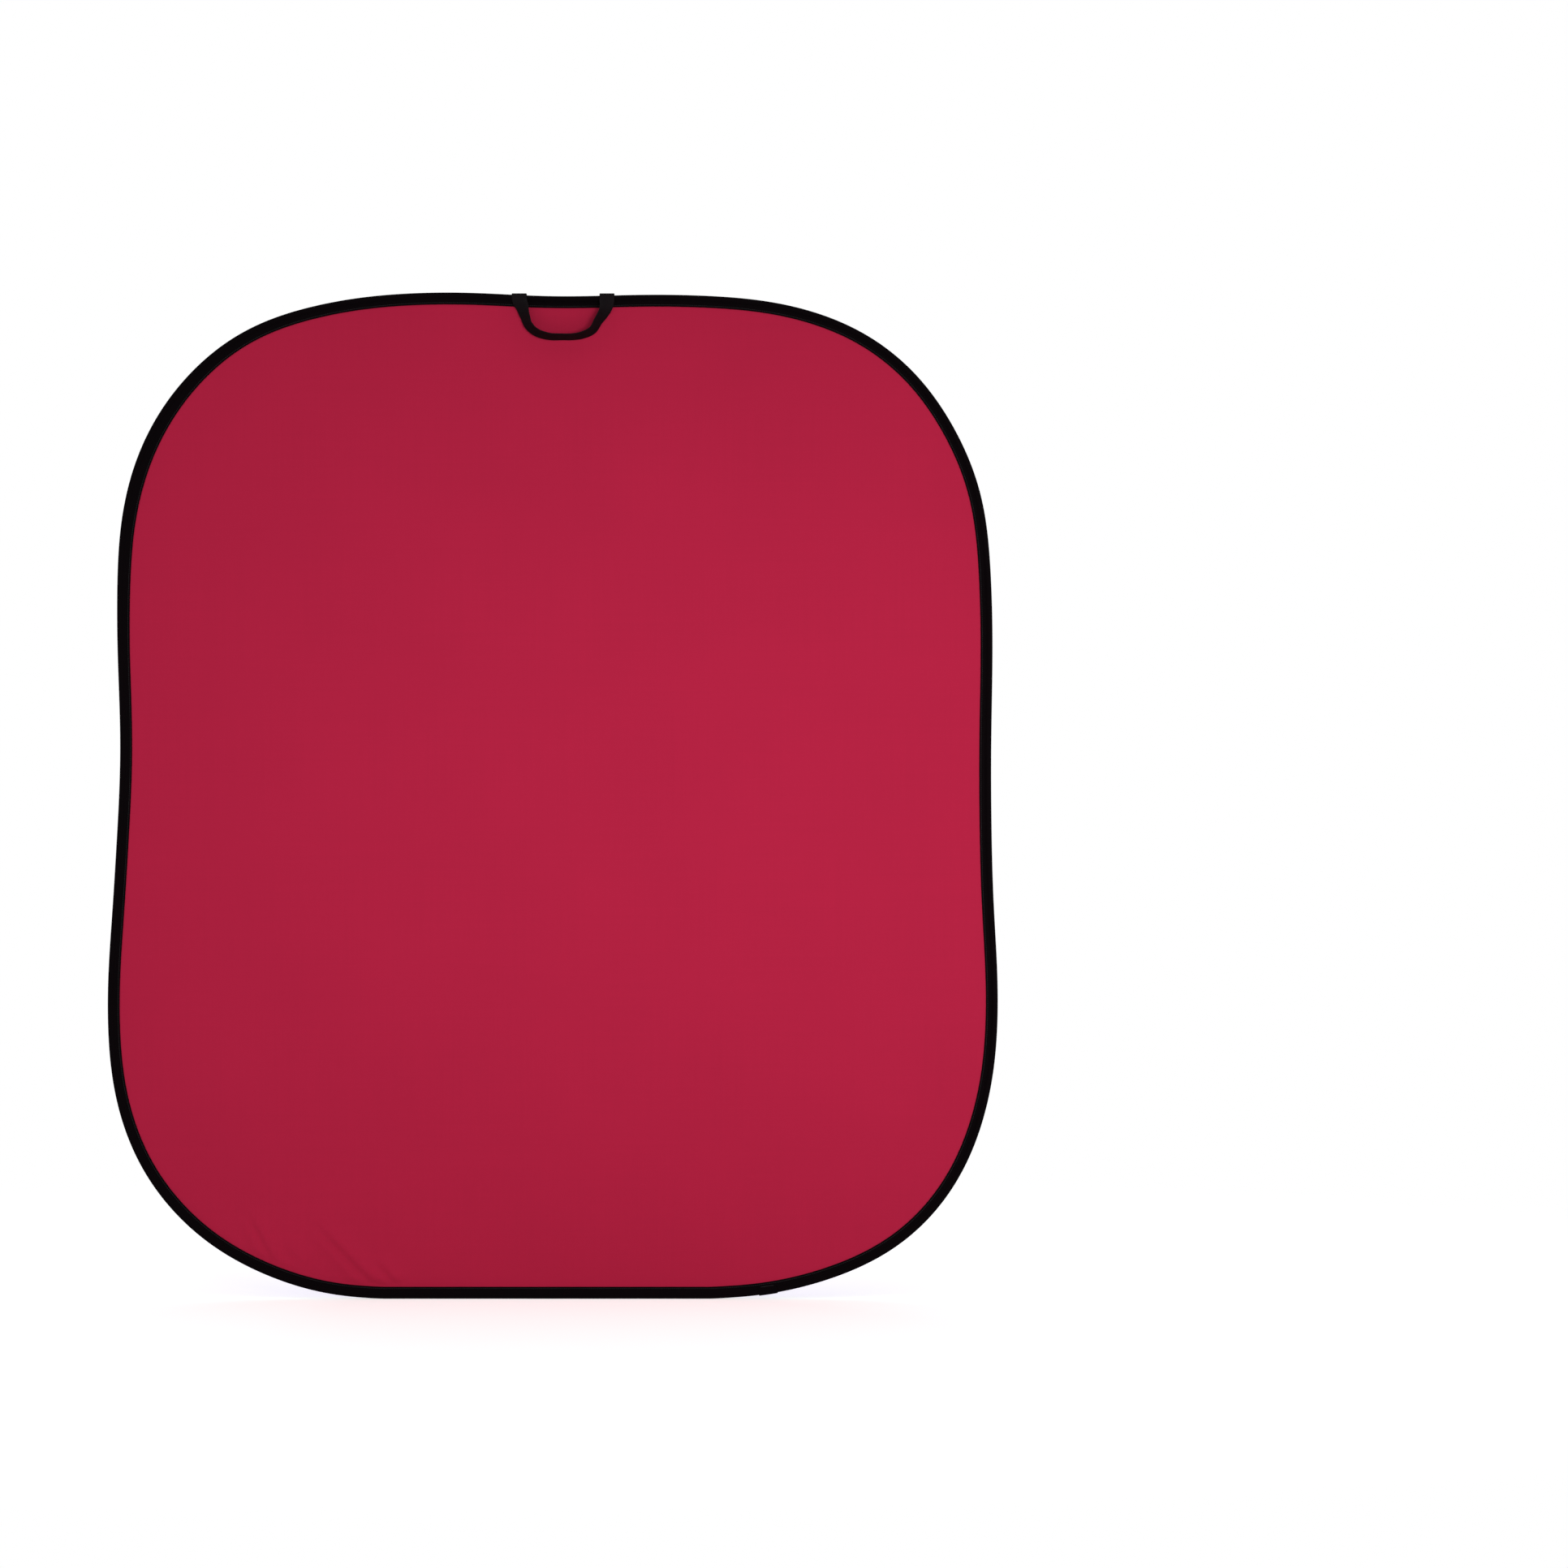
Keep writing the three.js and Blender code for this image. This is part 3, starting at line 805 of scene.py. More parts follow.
@dataclass
class Rim:
    """The panel's outer edge, in the XZ plane, and what is measured inwards from it.

    Depths count from the outer edge inwards. A place on the rim is a share of its length, from the bottom
    middle up the right side and down the left.
    """

    width: float = 1500 * MM
    height: float = 1696 * MM
    outline_shares: tuple[tuple[float, float], ...] = (
        (0, -0.0006), (0.3, -0.0006), (0.52, 0.0075), (0.729, 0.04), (0.845, 0.08), (0.93, 0.135),
        (0.985, 0.212), (1, 0.295), (0.989, 0.41), (0.985, 0.52), (0.986, 0.7), (0.963, 0.798),
        (0.91, 0.858), (0.82, 0.917), (0.69, 0.962), (0.515, 0.989), (0.28, 0.998), (0, 0.9965),
        (-0.24, 1.0005), (-0.48, 0.992), (-0.69, 0.963), (-0.83, 0.913), (-0.92, 0.852), (-0.968, 0.78),
        (-0.98, 0.68), (-0.973, 0.54), (-0.987, 0.41), (-1.001, 0.295), (-0.985, 0.205), (-0.93, 0.135),
        (-0.84, 0.081), (-0.72, 0.04), (-0.521, 0.0062), (-0.3, -0.0006),
    )
    outline_points: int = 240
    easing_passes: int = 12
    bend_step: float = 1 / 400
    corner_samples: int = 2000
    edge_samples: int = 1200
    batches: int = 40
    curve: SmoothCurve = field(init=False)

    def __post_init__(self) -> None:
        """Draws the outline's curve, as a sprung hoop takes it, with no sudden change of bend."""
        rough = SmoothCurve(np.array(self.outline_shares) * (self.width / 2, self.height), closed=True)
        row = rough.at(rough.places_of(np.arange(self.outline_points) / self.outline_points))
        once = self.eased(row)
        self.curve = SmoothCurve(2 * once - self.eased(once), closed=True)

    def eased(self, row: np.ndarray) -> np.ndarray:
        """Draws each point of a closed row towards its two neighbours, several times.

        Args:
            row: One point in each row.

        Returns:
            The eased points.
        """
        for _ in range(self.easing_passes):
            row = (np.roll(row, 1, axis=0) + 2 * row + np.roll(row, -1, axis=0)) / 4
        return row

    def stations(self, shares: np.ndarray) -> tuple[np.ndarray, np.ndarray]:
        """Gives points of the outer edge and the directions inwards.

        Args:
            shares: Shares of the rim's length. They may pass below 0 or above 1.

        Returns:
            The points and the directions, both as rows of x and z.
        """
        places = self.curve.places_of(np.mod(shares, 1))
        points = self.curve.at(places)
        along = self.curve.along(places)
        inwards = np.column_stack([-along[:, 1], along[:, 0]])
        on_floor = points[:, 1] <= 0
        points[on_floor, 1] = 0
        inwards[on_floor] = (0, 1)
        return points, inwards

    def edge(self, shares: np.ndarray, depths: np.ndarray | float = 0.0) -> np.ndarray:
        """Gives points inside the rim, as x and z. The depth is one for all or one for each share."""
        points, inwards = self.stations(shares)
        return points + inwards * np.reshape(depths, (-1, 1))

    def swept(self, shares: np.ndarray, depths: np.ndarray, offsets: np.ndarray) -> np.ndarray:
        """Gives points inside the rim, as x, y and z. The offset is their Y."""
        return upright(self.edge(shares, depths), offsets)

    def bend(self, shares: np.ndarray) -> np.ndarray:
        """Measures how sharply the rim bends, as one over the bend's radius, per metre."""
        after, before = (self.stations(shares + step)[1] for step in (self.bend_step, -self.bend_step))
        return np.linalg.norm(after - before, axis=1) / (2 * self.bend_step * self.curve.length)

    def corners(self) -> list[float]:
        """Finds the rim's four corners, where it runs diagonally.

        Returns:
            The shares of the low left, low right, high right and high left corner.
        """
        shares = np.linspace(0, 1, self.corner_samples, endpoint=False)
        inwards = self.stations(shares)[1]
        diagonals = ((1, 1), (-1, 1), (-1, -1), (1, -1))
        return [float(shares[np.argmax(inwards @ np.array(diagonal))]) for diagonal in diagonals]

    def filled(self, across: np.ndarray, up: np.ndarray, depth: float) -> np.ndarray:
        """Stretches a square over the inside of the rim.

        Args:
            across: Shares from the left edge to the right one.
            up: Shares from the bottom edge to the top one.
            depth: How far inside the outer edge the square's edges lie.

        Returns:
            The points, as rows of x and z.
        """
        low_left, low_right, high_right, high_left = self.corners()
        bottom = self.edge(low_left - 1 + (low_right + 1 - low_left) * across, depth)
        top = self.edge(high_left + (high_right - high_left) * across, depth)
        left = self.edge(low_left + (high_left - low_left) * up, depth)
        right = self.edge(low_right + (high_right - low_right) * up, depth)
        a, b, c, d = self.edge(np.array([low_left, low_right, high_right, high_left]), depth)
        s, t = across[:, None], up[:, None]
        plain = (1 - t) * ((1 - s) * a + s * b) + t * ((1 - s) * d + s * c)
        return (1 - t) * bottom + t * top + (1 - s) * left + s * right - plain

    def nearest(self, points: np.ndarray) -> tuple[np.ndarray, np.ndarray]:
        """Finds the place of the outer edge that is nearest to each point.

        Args:
            points: Rows of x and z.

        Returns:
            How far away the edge is, and its share of the rim's length.
        """
        shares = np.linspace(0, 1, self.edge_samples, endpoint=False)
        edge = self.edge(shares)
        depths, places = np.empty(len(points)), np.empty(len(points))
        for some in np.array_split(np.arange(len(points)), self.batches):
            away = np.linalg.norm(points[some, None] - edge[None], axis=2)
            depths[some], places[some] = away.min(axis=1), shares[away.argmin(axis=1)]
        return depths, places


@dataclass(frozen=True)
class Fold:
    """Where the panel folds: the sprung hoop bends over a long stretch, not at a line."""

    height: float
    reach: float = 375 * MM

    def bend(self, piece: bpy.types.Object) -> None:
        """Bakes a piece's transform into its mesh. It does not make the piece bend.

        Args:
            piece: The finished piece.
        """
        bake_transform(piece)


# Cloths


@dataclass(frozen=True)
class Crease:
    """A soft pulled fold of the cloth, as x and z of its two ends.

    Across its line it has a near ridge, a hollow and a lower far ridge, whose places and widths count in
    half widths of the crease. Each fade at an end is a run, as a share of the crease's length, and how far
    through the fade the end itself is.
    """

    start: tuple[float, float]
    end: tuple[float, float]
    height: float
    half_width: float = 7 * MM
    start_fade: tuple[float, float] = (0.35, 0.5)
    end_fade: tuple[float, float] = (0.6, 0.35)
    near_place: float = -0.7
    near_width: float = 1.0
    back_width: float = 2.4
    far_place: float = 2.5
    far_width: float = 1.4
    far_share: float = 0.5

    def lift(self, points: np.ndarray, lee: int) -> np.ndarray:
        """Gives how far the crease lifts the cloth.

        Args:
            points: Rows of x and z.
            lee: The sign of X on the crease's hollow side.

        Returns:
            The lift at each point: a ridge, then a sharp fall across the crease's line into a hollow, and a
            lower ridge beyond it.
        """
        start, end = np.array(self.start), np.array(self.end)
        length = np.linalg.norm(end - start)
        along = (end - start) / length
        beside = np.array([-along[1], along[0]])
        beside *= lee * np.sign(beside[0])
        run = (points - start) @ along / length
        off = (points - start) @ beside / self.half_width
        (start_run, at_start), (end_run, at_end) = self.start_fade, self.end_fade
        envelope = smooth_step(run / start_run + at_start) * smooth_step((1 - run) / end_run + at_end)
        near_width = np.where(off < self.near_place, self.back_width, self.near_width)
        near_ridge = np.exp(-(((off - self.near_place) / near_width) ** 2))
        far_ridge = np.exp(-(((off - self.far_place) / self.far_width) ** 2))
        return self.height * envelope * (near_ridge + self.far_share * far_ridge)


@dataclass
class StretchedCloth:
    """One layer of cloth, held tight by the rim all round.

    The rows of its mesh are crowded in the two zones that hold its creases. The gathers at its edge are a
    level and two waves along the rim, the first of which wanders, and they are full where the rim bends.
    """

    name: str
    finish: Finish
    slot: str
    replaces: tuple[str, str]
    middle: float
    face: Face
    creases: tuple[Crease, ...] = ()
    thickness: float = 0.6 * MM
    edge_depth: float = 9.5 * MM
    columns: int = 170
    rows: int = 180
    crowding: float = 3.0
    crowded_shares: tuple[tuple[float, float], tuple[float, float]] = ((0.05, 0.46), (0.0, 0.09))
    crowd_fade: float = 0.04
    crowd_samples: int = 501
    swell: float = 1.6 * MM
    swell_reach: tuple[float, float] = (260 * MM, 90 * MM)
    hem_hold: float = 19 * MM
    hem_fade: float = 14 * MM
    gather_height: float = 0.7 * MM
    gather_reach: float = 22 * MM
    gather_spacing: float = 27 * MM
    gather_shares: tuple[float, float, float] = (0.5, 0.3, 0.2)
    gather_wander: float = 2.0
    gather_wander_run: float = 170 * MM
    gather_second_wave: float = 0.61
    gather_least: float = 0.15
    gather_full_bend: float = 3.0
    outline_samples: int = 720

    def build(self, rim: Rim, fold: Fold) -> bpy.types.Object:
        """Builds the cloth as one sheet.

        Args:
            rim: The rim that it fills.
            fold: Where it bends.

        Returns:
            The piece.
        """
        column, row = lattice(self.columns + 1, self.rows + 1)
        shares = (column / self.columns, row / self.rows)
        crowded = [self.crowd(share, *zone) for share, zone in zip(shares, self.crowded_shares)]
        flat = rim.filled(*crowded, self.edge_depth)
        points = upright(flat, self.middle + self.face.value * self.lift(rim, flat))
        piece = shaped_grid(self.name, self.columns + 1, points, flat)
        thicken(piece, self.thickness)
        with editing(piece):
            bpy.ops.mesh.normals_make_consistent(inside=False)
        shade_smooth(piece, SOFT_EDGE)
        self.finish.dress(piece)
        fold.bend(piece)
        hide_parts(*self.replaces)
        return piece

    def crowd(self, share: np.ndarray, low: float, high: float) -> np.ndarray:
        """Draws rows closer together where the cloth is creased.

        Args:
            share: Even shares from 0 to 1.
            low: Where the crowded zone starts.
            high: Where it ends.

        Returns:
            The shares, crowded in the zone.
        """
        if not self.creases:
            return share
        even = np.linspace(0, 1, self.crowd_samples)
        rising, falling = (even - low) / self.crowd_fade, (high - even) / self.crowd_fade
        inside = smooth_step(rising + 1) * smooth_step(falling + 1)
        filled = np.cumsum(1 + self.crowding * inside)
        filled = (filled - filled[0]) / (filled[-1] - filled[0])
        return np.interp(share, filled, even)

    def lift(self, rim: Rim, flat: np.ndarray) -> np.ndarray:
        """Gives how far the cloth stands off the lining.

        Args:
            rim: The rim, which holds the cloth down at its edge.
            flat: The cloth's points, as rows of x and z.

        Returns:
            The lift at each point, never below 0.
        """
        if not self.creases:
            return np.zeros(len(flat))
        depths, shares = rim.nearest(flat)
        ridges = sum(crease.lift(flat, self.face.value) for crease in self.creases)
        centre = np.mean([(crease.start, crease.end) for crease in self.creases], axis=(0, 1))
        away = (flat - centre) / self.swell_reach
        raised = self.swell * np.exp(-np.sum(away**2, axis=1))
        held = smooth_step((depths - self.hem_hold) / self.hem_fade)
        return (np.maximum(ridges + raised, 0) + self.gathers(rim, depths, shares)) * held

    def gathers(self, rim: Rim, depths: np.ndarray, shares: np.ndarray) -> np.ndarray:
        """Gives the small gathers that the seam pulls into the cloth where the rim bends.

        Args:
            rim: The rim.
            depths: How deep inside the rim each point is.
            shares: The rim's share nearest to each point.

        Returns:
            The lift at each point.
        """
        length = shares * rim.curve.length
        turn = 2 * math.pi * length / self.gather_spacing
        wander = self.gather_wander * np.sin(length / self.gather_wander_run)
        level, first, second = self.gather_shares
        second_turn = self.gather_second_wave * turn + self.face.value
        wave = level + first * np.sin(turn + wander) + second * np.sin(second_turn)
        fading = np.exp(-(((depths - self.hem_hold) / self.gather_reach) ** 2))
        pulled = np.clip(rim.bend(shares) / self.gather_full_bend, self.gather_least, 1)
        return self.gather_height * wave * fading * pulled

    def declare(self, rim: Rim, with_pieces: list[bpy.types.Object], rests_on: list[str]) -> None:
        """Args:
            rim: The rim that it fills.
            with_pieces: The pieces sewn to it. Not used.
            rests_on: What holds it. Not used.
        """
        outline = rim.edge(np.linspace(0, 1, self.outline_samples, endpoint=False), self.edge_depth)


# Binding, seams and lap


@dataclass
class Binding:
    """The tape folded over the cloths' edge, its two seams, and the lap where its ends meet.

    The seam draws a groove into the tape, given as steps across it with their shares of the sink. Beside it
    the hem puckers in waves that wander along the rim and are full where the rim bends.
    """

    width: float = 20 * MM
    corner_extra: float = 5 * MM
    corner_reach: float = 260 * MM
    corner_place: tuple[float, float] = (-690 * MM, 1458.6 * MM)
    thickness: float = 1 * MM
    hem_half: float = 2.5 * MM
    hem_ease: float = 4 * MM
    rim_half: float = 5.55 * MM
    edge_flat_half: float = 3.6 * MM
    edge_bevel_share: float = 0.3
    slope_start: float = 12.3 * MM
    slope_end: float = 6.0 * MM
    slope_points: int = 7
    round_points: int = 6
    stations: int = 960
    soft_edge: float = math.radians(60)
    seam_setback: float = 3 * MM
    seam_sink: float = 0.22 * MM
    seam_samples: int = 4001
    seam_nudge: float = 1 * MM
    groove: tuple[tuple[float, float], ...] = (
        (-0.8 * MM, 0), (-0.4 * MM, 0.35), (0, 1), (0.4 * MM, 0.35), (0.8 * MM, 0),
    )
    stitch: Stitch = Stitch(3.1 * MM, 0.9 * MM, 0.66 * MM)
    stitch_pitch: float = 3.5 * MM
    pucker_height: float = 0.35 * MM
    pucker_spacing: float = 24 * MM
    pucker_wander: float = 1.5
    pucker_wander_run: float = 190 * MM
    pucker_least: float = 0.25
    pucker_full_bend: float = 3.0
    pucker_clear: float = 0.6 * MM
    pucker_ease: float = 1.5 * MM
    bend_samples: int = 720
    lap_share: float = 0.065
    lap_length: float = 32 * MM
    lap_reach: float = 14.5 * MM
    lap_gap: float = 0.1 * MM
    lap_proud: float = 1.3 * MM
    lap_runs: tuple[float, ...] = (0, 0.15 * MM, 0.5 * MM, 1.2 * MM, 3 * MM, 7 * MM, 11 * MM)
    lap_rounding: float = 1.2 * MM
    lap_least: float = 0.25
    tack_length: float = 22 * MM
    tack_pitch: float = 0.8 * MM
    tack_lift: float = 0.1 * MM
    tack_lean: float = math.radians(20)
    tack_stitch: Stitch = Stitch(2 * MM, 0.6 * MM, 0.5 * MM)

    def width_at(self, points: np.ndarray) -> np.ndarray:
        """Gives the tape's width, which grows round the upper left corner, where it rolls forward."""
        away = np.linalg.norm(points - self.corner_place, axis=1) / self.corner_reach
        return self.width + self.corner_extra * np.exp(-(away**2))

    def outer_side(self, reach: float, proud: float, seam: bool) -> list[tuple[float, float]]:
        """Draws half of the tape's outside, from the hem to the middle of the outer edge.

        Args:
            reach: The depth of the hem's edge.
            proud: How far the tape is pushed out, as on the lap.
            seam: Whether the stitches draw a groove into it.

        Returns:
            Depths and heights above the panel's middle plane.
        """
        hem = self.hem_half + proud
        edge = self.thickness / 2
        bevel = self.edge_bevel_share * edge
        corners = [(reach, hem - edge), (reach - bevel, hem - bevel), (reach - edge, hem)]
        if seam:
            middle = reach - self.seam_setback
            corners += [(middle - step, hem - share * self.seam_sink) for step, share in self.groove]
            corners.append(((middle + self.slope_start) / 2, hem))
        for share in np.linspace(0, 1, self.slope_points):
            depth = self.slope_start + proud + (self.slope_end - self.slope_start) * share
            rise = (self.rim_half - self.hem_half) * float(smooth_step(share))
            corners.append((depth, hem + rise))
        radius = self.rim_half - self.edge_flat_half
        corners.append(((self.slope_end + radius) / 2, self.rim_half + proud))
        for angle in np.radians(np.linspace(90, 0, self.round_points)):
            depth = radius - (radius + proud) * math.cos(angle)
            corners.append((depth, self.edge_flat_half + (radius + proud) * math.sin(angle)))
        corners.append((-proud, self.edge_flat_half / 2))
        return corners

    def inner_side(self, reach: float, proud: float) -> list[tuple[float, float]]:
        """Draws half of the tape's inside, from the hem to the middle of the outer edge.

        Args:
            reach: The depth of the hem's edge.
            proud: How far the inside is pushed out from the unlapped tape's outside.

        Returns:
            Depths and heights above the panel's middle plane.
        """
        hem, rim = self.hem_half + proud, self.rim_half + proud
        return [
            (reach - self.thickness / 2, hem),
            (self.slope_start, hem),
            ((self.slope_start + self.slope_end) / 2, (hem + rim) / 2),
            (self.slope_end, rim),
            (self.rim_half - self.edge_flat_half, rim),
            (-proud, self.edge_flat_half),
        ]

    def section(self, reach: float, outer: float, inner: float, seam: bool) -> np.ndarray:
        """Draws the whole closed section of the folded tape.

        Args:
            reach: The depth of the hem's edge.
            outer: How far the outside is pushed out.
            inner: How far the inside is pushed out.
            seam: Whether the stitches draw a groove into it.

        Returns:
            Rows of depth and Y, with the first one repeated at the end.
        """
        outside = self.outer_side(reach, outer, seam)
        inside = self.inner_side(reach, inner)
        front = [(depth, -offset) for depth, offset in outside]
        front_inside = [(depth, -offset) for depth, offset in inside]
        loop = [*front, (-outer, 0.0), *outside[::-1], *inside, (-inner, 0.0), *front_inside[::-1]]
        return np.array([*loop, loop[0]])

    def pucker(self, rim: Rim, along: np.ndarray, depth: np.ndarray, side: np.ndarray) -> np.ndarray:
        """Gives how far the hem puckers beside its seam.

        Args:
            rim: The rim that the tape covers.
            along: Shares of the rim's length.
            depth: How deep inside the rim each point is.
            side: The sign of each point's Y.

        Returns:
            The lift at each point.
        """
        length = along * rim.curve.length
        wander = self.pucker_wander * np.sin(length / self.pucker_wander_run) * side
        wave = (1 + np.sin(2 * math.pi * length / self.pucker_spacing + wander)) / 2
        samples = np.linspace(0, 1, self.bend_samples)
        pulled = np.interp(along, samples, rim.bend(samples)) / self.pucker_full_bend
        height = self.pucker_least + (1 - self.pucker_least) * np.clip(pulled, 0, 1)
        away = np.abs(depth - (self.width - self.seam_setback)) - self.pucker_clear
        return self.pucker_height * height * wave * smooth_step(away / self.pucker_ease)

    def build_tape(self, rim: Rim, fold: Fold) -> bpy.types.Object:
        """Builds the tape, all the way round.

        Args:
            rim: The rim that it covers.
            fold: Where it bends.

        Returns:
            The piece.
        """
        section = self.section(self.width, 0.0, -self.thickness, seam=True)
        station, spot = lattice(self.stations + 1, len(section))
        along = station / self.stations
        depth, offset = section[spot].T
        side = np.sign(offset)
        on_hem = smooth_step((depth - self.slope_start) / self.hem_ease)
        widened = (self.width_at(rim.edge(along)) - self.width) * on_hem
        pucker = self.pucker(rim, along, depth, side) * on_hem
        points = rim.swept(along, depth + widened, offset + side * pucker)
        places = np.column_stack([along * rim.curve.length, path_lengths(section)[spot]])
        piece = closed_sweep("rim_binding", self.stations + 1, points, places, BINDING_TAPE, self.soft_edge)
        fold.bend(piece)
        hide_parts("upper_binding", "lower_binding")
        return piece

    def build_lap(self, rim: Rim) -> bpy.types.Object:
        """Builds the tape's turned-in end, lapped over its start.

        Args:
            rim: The rim that it covers.

        Returns:
            The piece.
        """
        half = self.lap_length / 2
        from_end = np.array(self.lap_runs)
        runs = np.concatenate([from_end - half, [0], half - from_end[::-1]])
        inner = self.section(self.lap_reach, self.lap_gap, self.lap_gap, seam=False)
        outer = self.section(self.lap_reach, self.lap_proud, self.lap_gap, seam=False)
        station, spot = lattice(len(runs), len(outer))
        run = runs[station]
        short = 1 - np.clip((half - np.abs(run)) / self.lap_rounding, 0, 1)
        full = (self.lap_least + (1 - self.lap_least) * np.sqrt(1 - short**2))[:, None]
        depth, offset = (inner[spot] * (1 - full) + outer[spot] * full).T
        points = rim.swept(self.lap_share + run / rim.curve.length, depth, offset)
        places = np.column_stack([run, path_lengths(outer)[spot]])
        piece = closed_sweep("binding_lap_end", len(runs), points, places, BINDING_TAPE, self.soft_edge)
        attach(piece, "lower_half")
        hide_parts("binding_lap")
        return piece

    def build_seam(self, rim: Rim, fold: Fold, face: Face) -> bpy.types.Object:
        """Builds one face's row of lockstitches, all the way round.

        Args:
            rim: The rim that it follows.
            fold: Where it bends.
            face: The face that it is on.

        Returns:
            The piece.
        """
        shares = np.linspace(0, 1, self.seam_samples)
        depths = self.width_at(rim.edge(shares)) - self.seam_setback
        line = rim.edge(shares, depths)
        lengths = path_lengths(line)
        count = round(lengths[-1] / self.stitch_pitch)
        wanted = (np.arange(count) + 1 / 2) * lengths[-1] / count
        flat, ahead = (
            np.column_stack([np.interp(places, lengths, line[:, axis]) for axis in (0, 1)])
            for places in (wanted, wanted + self.seam_nudge)
        )
        height = self.hem_half - self.seam_sink + self.stitch.height / 2
        name = face.name.lower()
        along = unit_vectors(upright(ahead - flat))
        piece = self.stitch.sew(f"{name}_seam", upright(flat, face.value * height), along, face)
        fold.bend(piece)
        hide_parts(f"{name}_stitching_upper", f"{name}_stitching_lower")
        return piece

    def build_tack(self, rim: Rim, face: Face) -> bpy.types.Object:
        """Builds the zigzag bar tack that holds the lap on one face.

        Args:
            rim: The rim that carries the lap.
            face: The face that it is on.

        Returns:
            The piece.
        """
        name = f"lap_bartack_{face.name.lower()}"
        low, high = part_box(name)
        inwards = rim.stations(np.array([self.lap_share]))[1][0]
        along = np.array([inwards[1], 0, -inwards[0]])
        across = np.cross((0, face.value, 0), along)
        centre = np.array((low + high) / 2)
        centre[1] = face.value * (self.hem_half + self.lap_proud + self.tack_lift)
        count = round(self.tack_length / self.tack_pitch)
        order = np.arange(count)
        runs = (order - (count - 1) / 2) * self.tack_pitch
        lean = np.where(order % 2 == 0, self.tack_lean, -self.tack_lean)
        ahead = np.outer(np.cos(lean), across) + np.outer(np.sin(lean), along)
        piece = self.tack_stitch.sew(f"{name}_zigzag", centre + np.outer(runs, along), ahead, face)
        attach(piece, "lower_half")
        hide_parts(name)
        return piece


# The sprung hoop inside the binding


@dataclass
class Hoop:
    """The sprung steel band. Its two ends meet inside the ferrule at the bottom."""

    outer_depth: float = 2.9 * MM
    inner_depth: float = 4.1 * MM
    width: float = 6.5 * MM
    end_gap: float = 0.8 * MM
    edge_radius: float = 0.35 * MM
    stations: int = 360

    def build(self, rim: Rim, fold: Fold) -> bpy.types.Object:
        """Builds the band and finishes the ferrule.

        Args:
            rim: The rim that it follows.
            fold: Where it bends.

        Returns:
            The band.
        """
        half, outer, inner, radius = self.width / 2, self.outer_depth, self.inner_depth, self.edge_radius
        rear = [
            (outer, half - radius), (outer + radius, half), (inner - radius, half), (inner, half - radius),
        ]
        section = np.array([*rear, *((depth, -offset) for depth, offset in rear[::-1]), rear[0]])
        station, spot = lattice(self.stations + 1, len(section))
        gap = self.end_gap / rim.curve.length
        share = gap / 2 + (1 - gap) * station / self.stations
        points = rim.swept(share, *section[spot].T)
        places = np.column_stack([share * rim.curve.length, path_lengths(section)[spot]])
        piece = closed_sweep("spring_hoop", self.stations + 1, points, places, SPRING_STEEL)
        fold.bend(piece)
        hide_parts("spring_band")
        ZINC_STEEL.dress(frame["nodes"]["band_ferrule"])
        return piece


# Handle


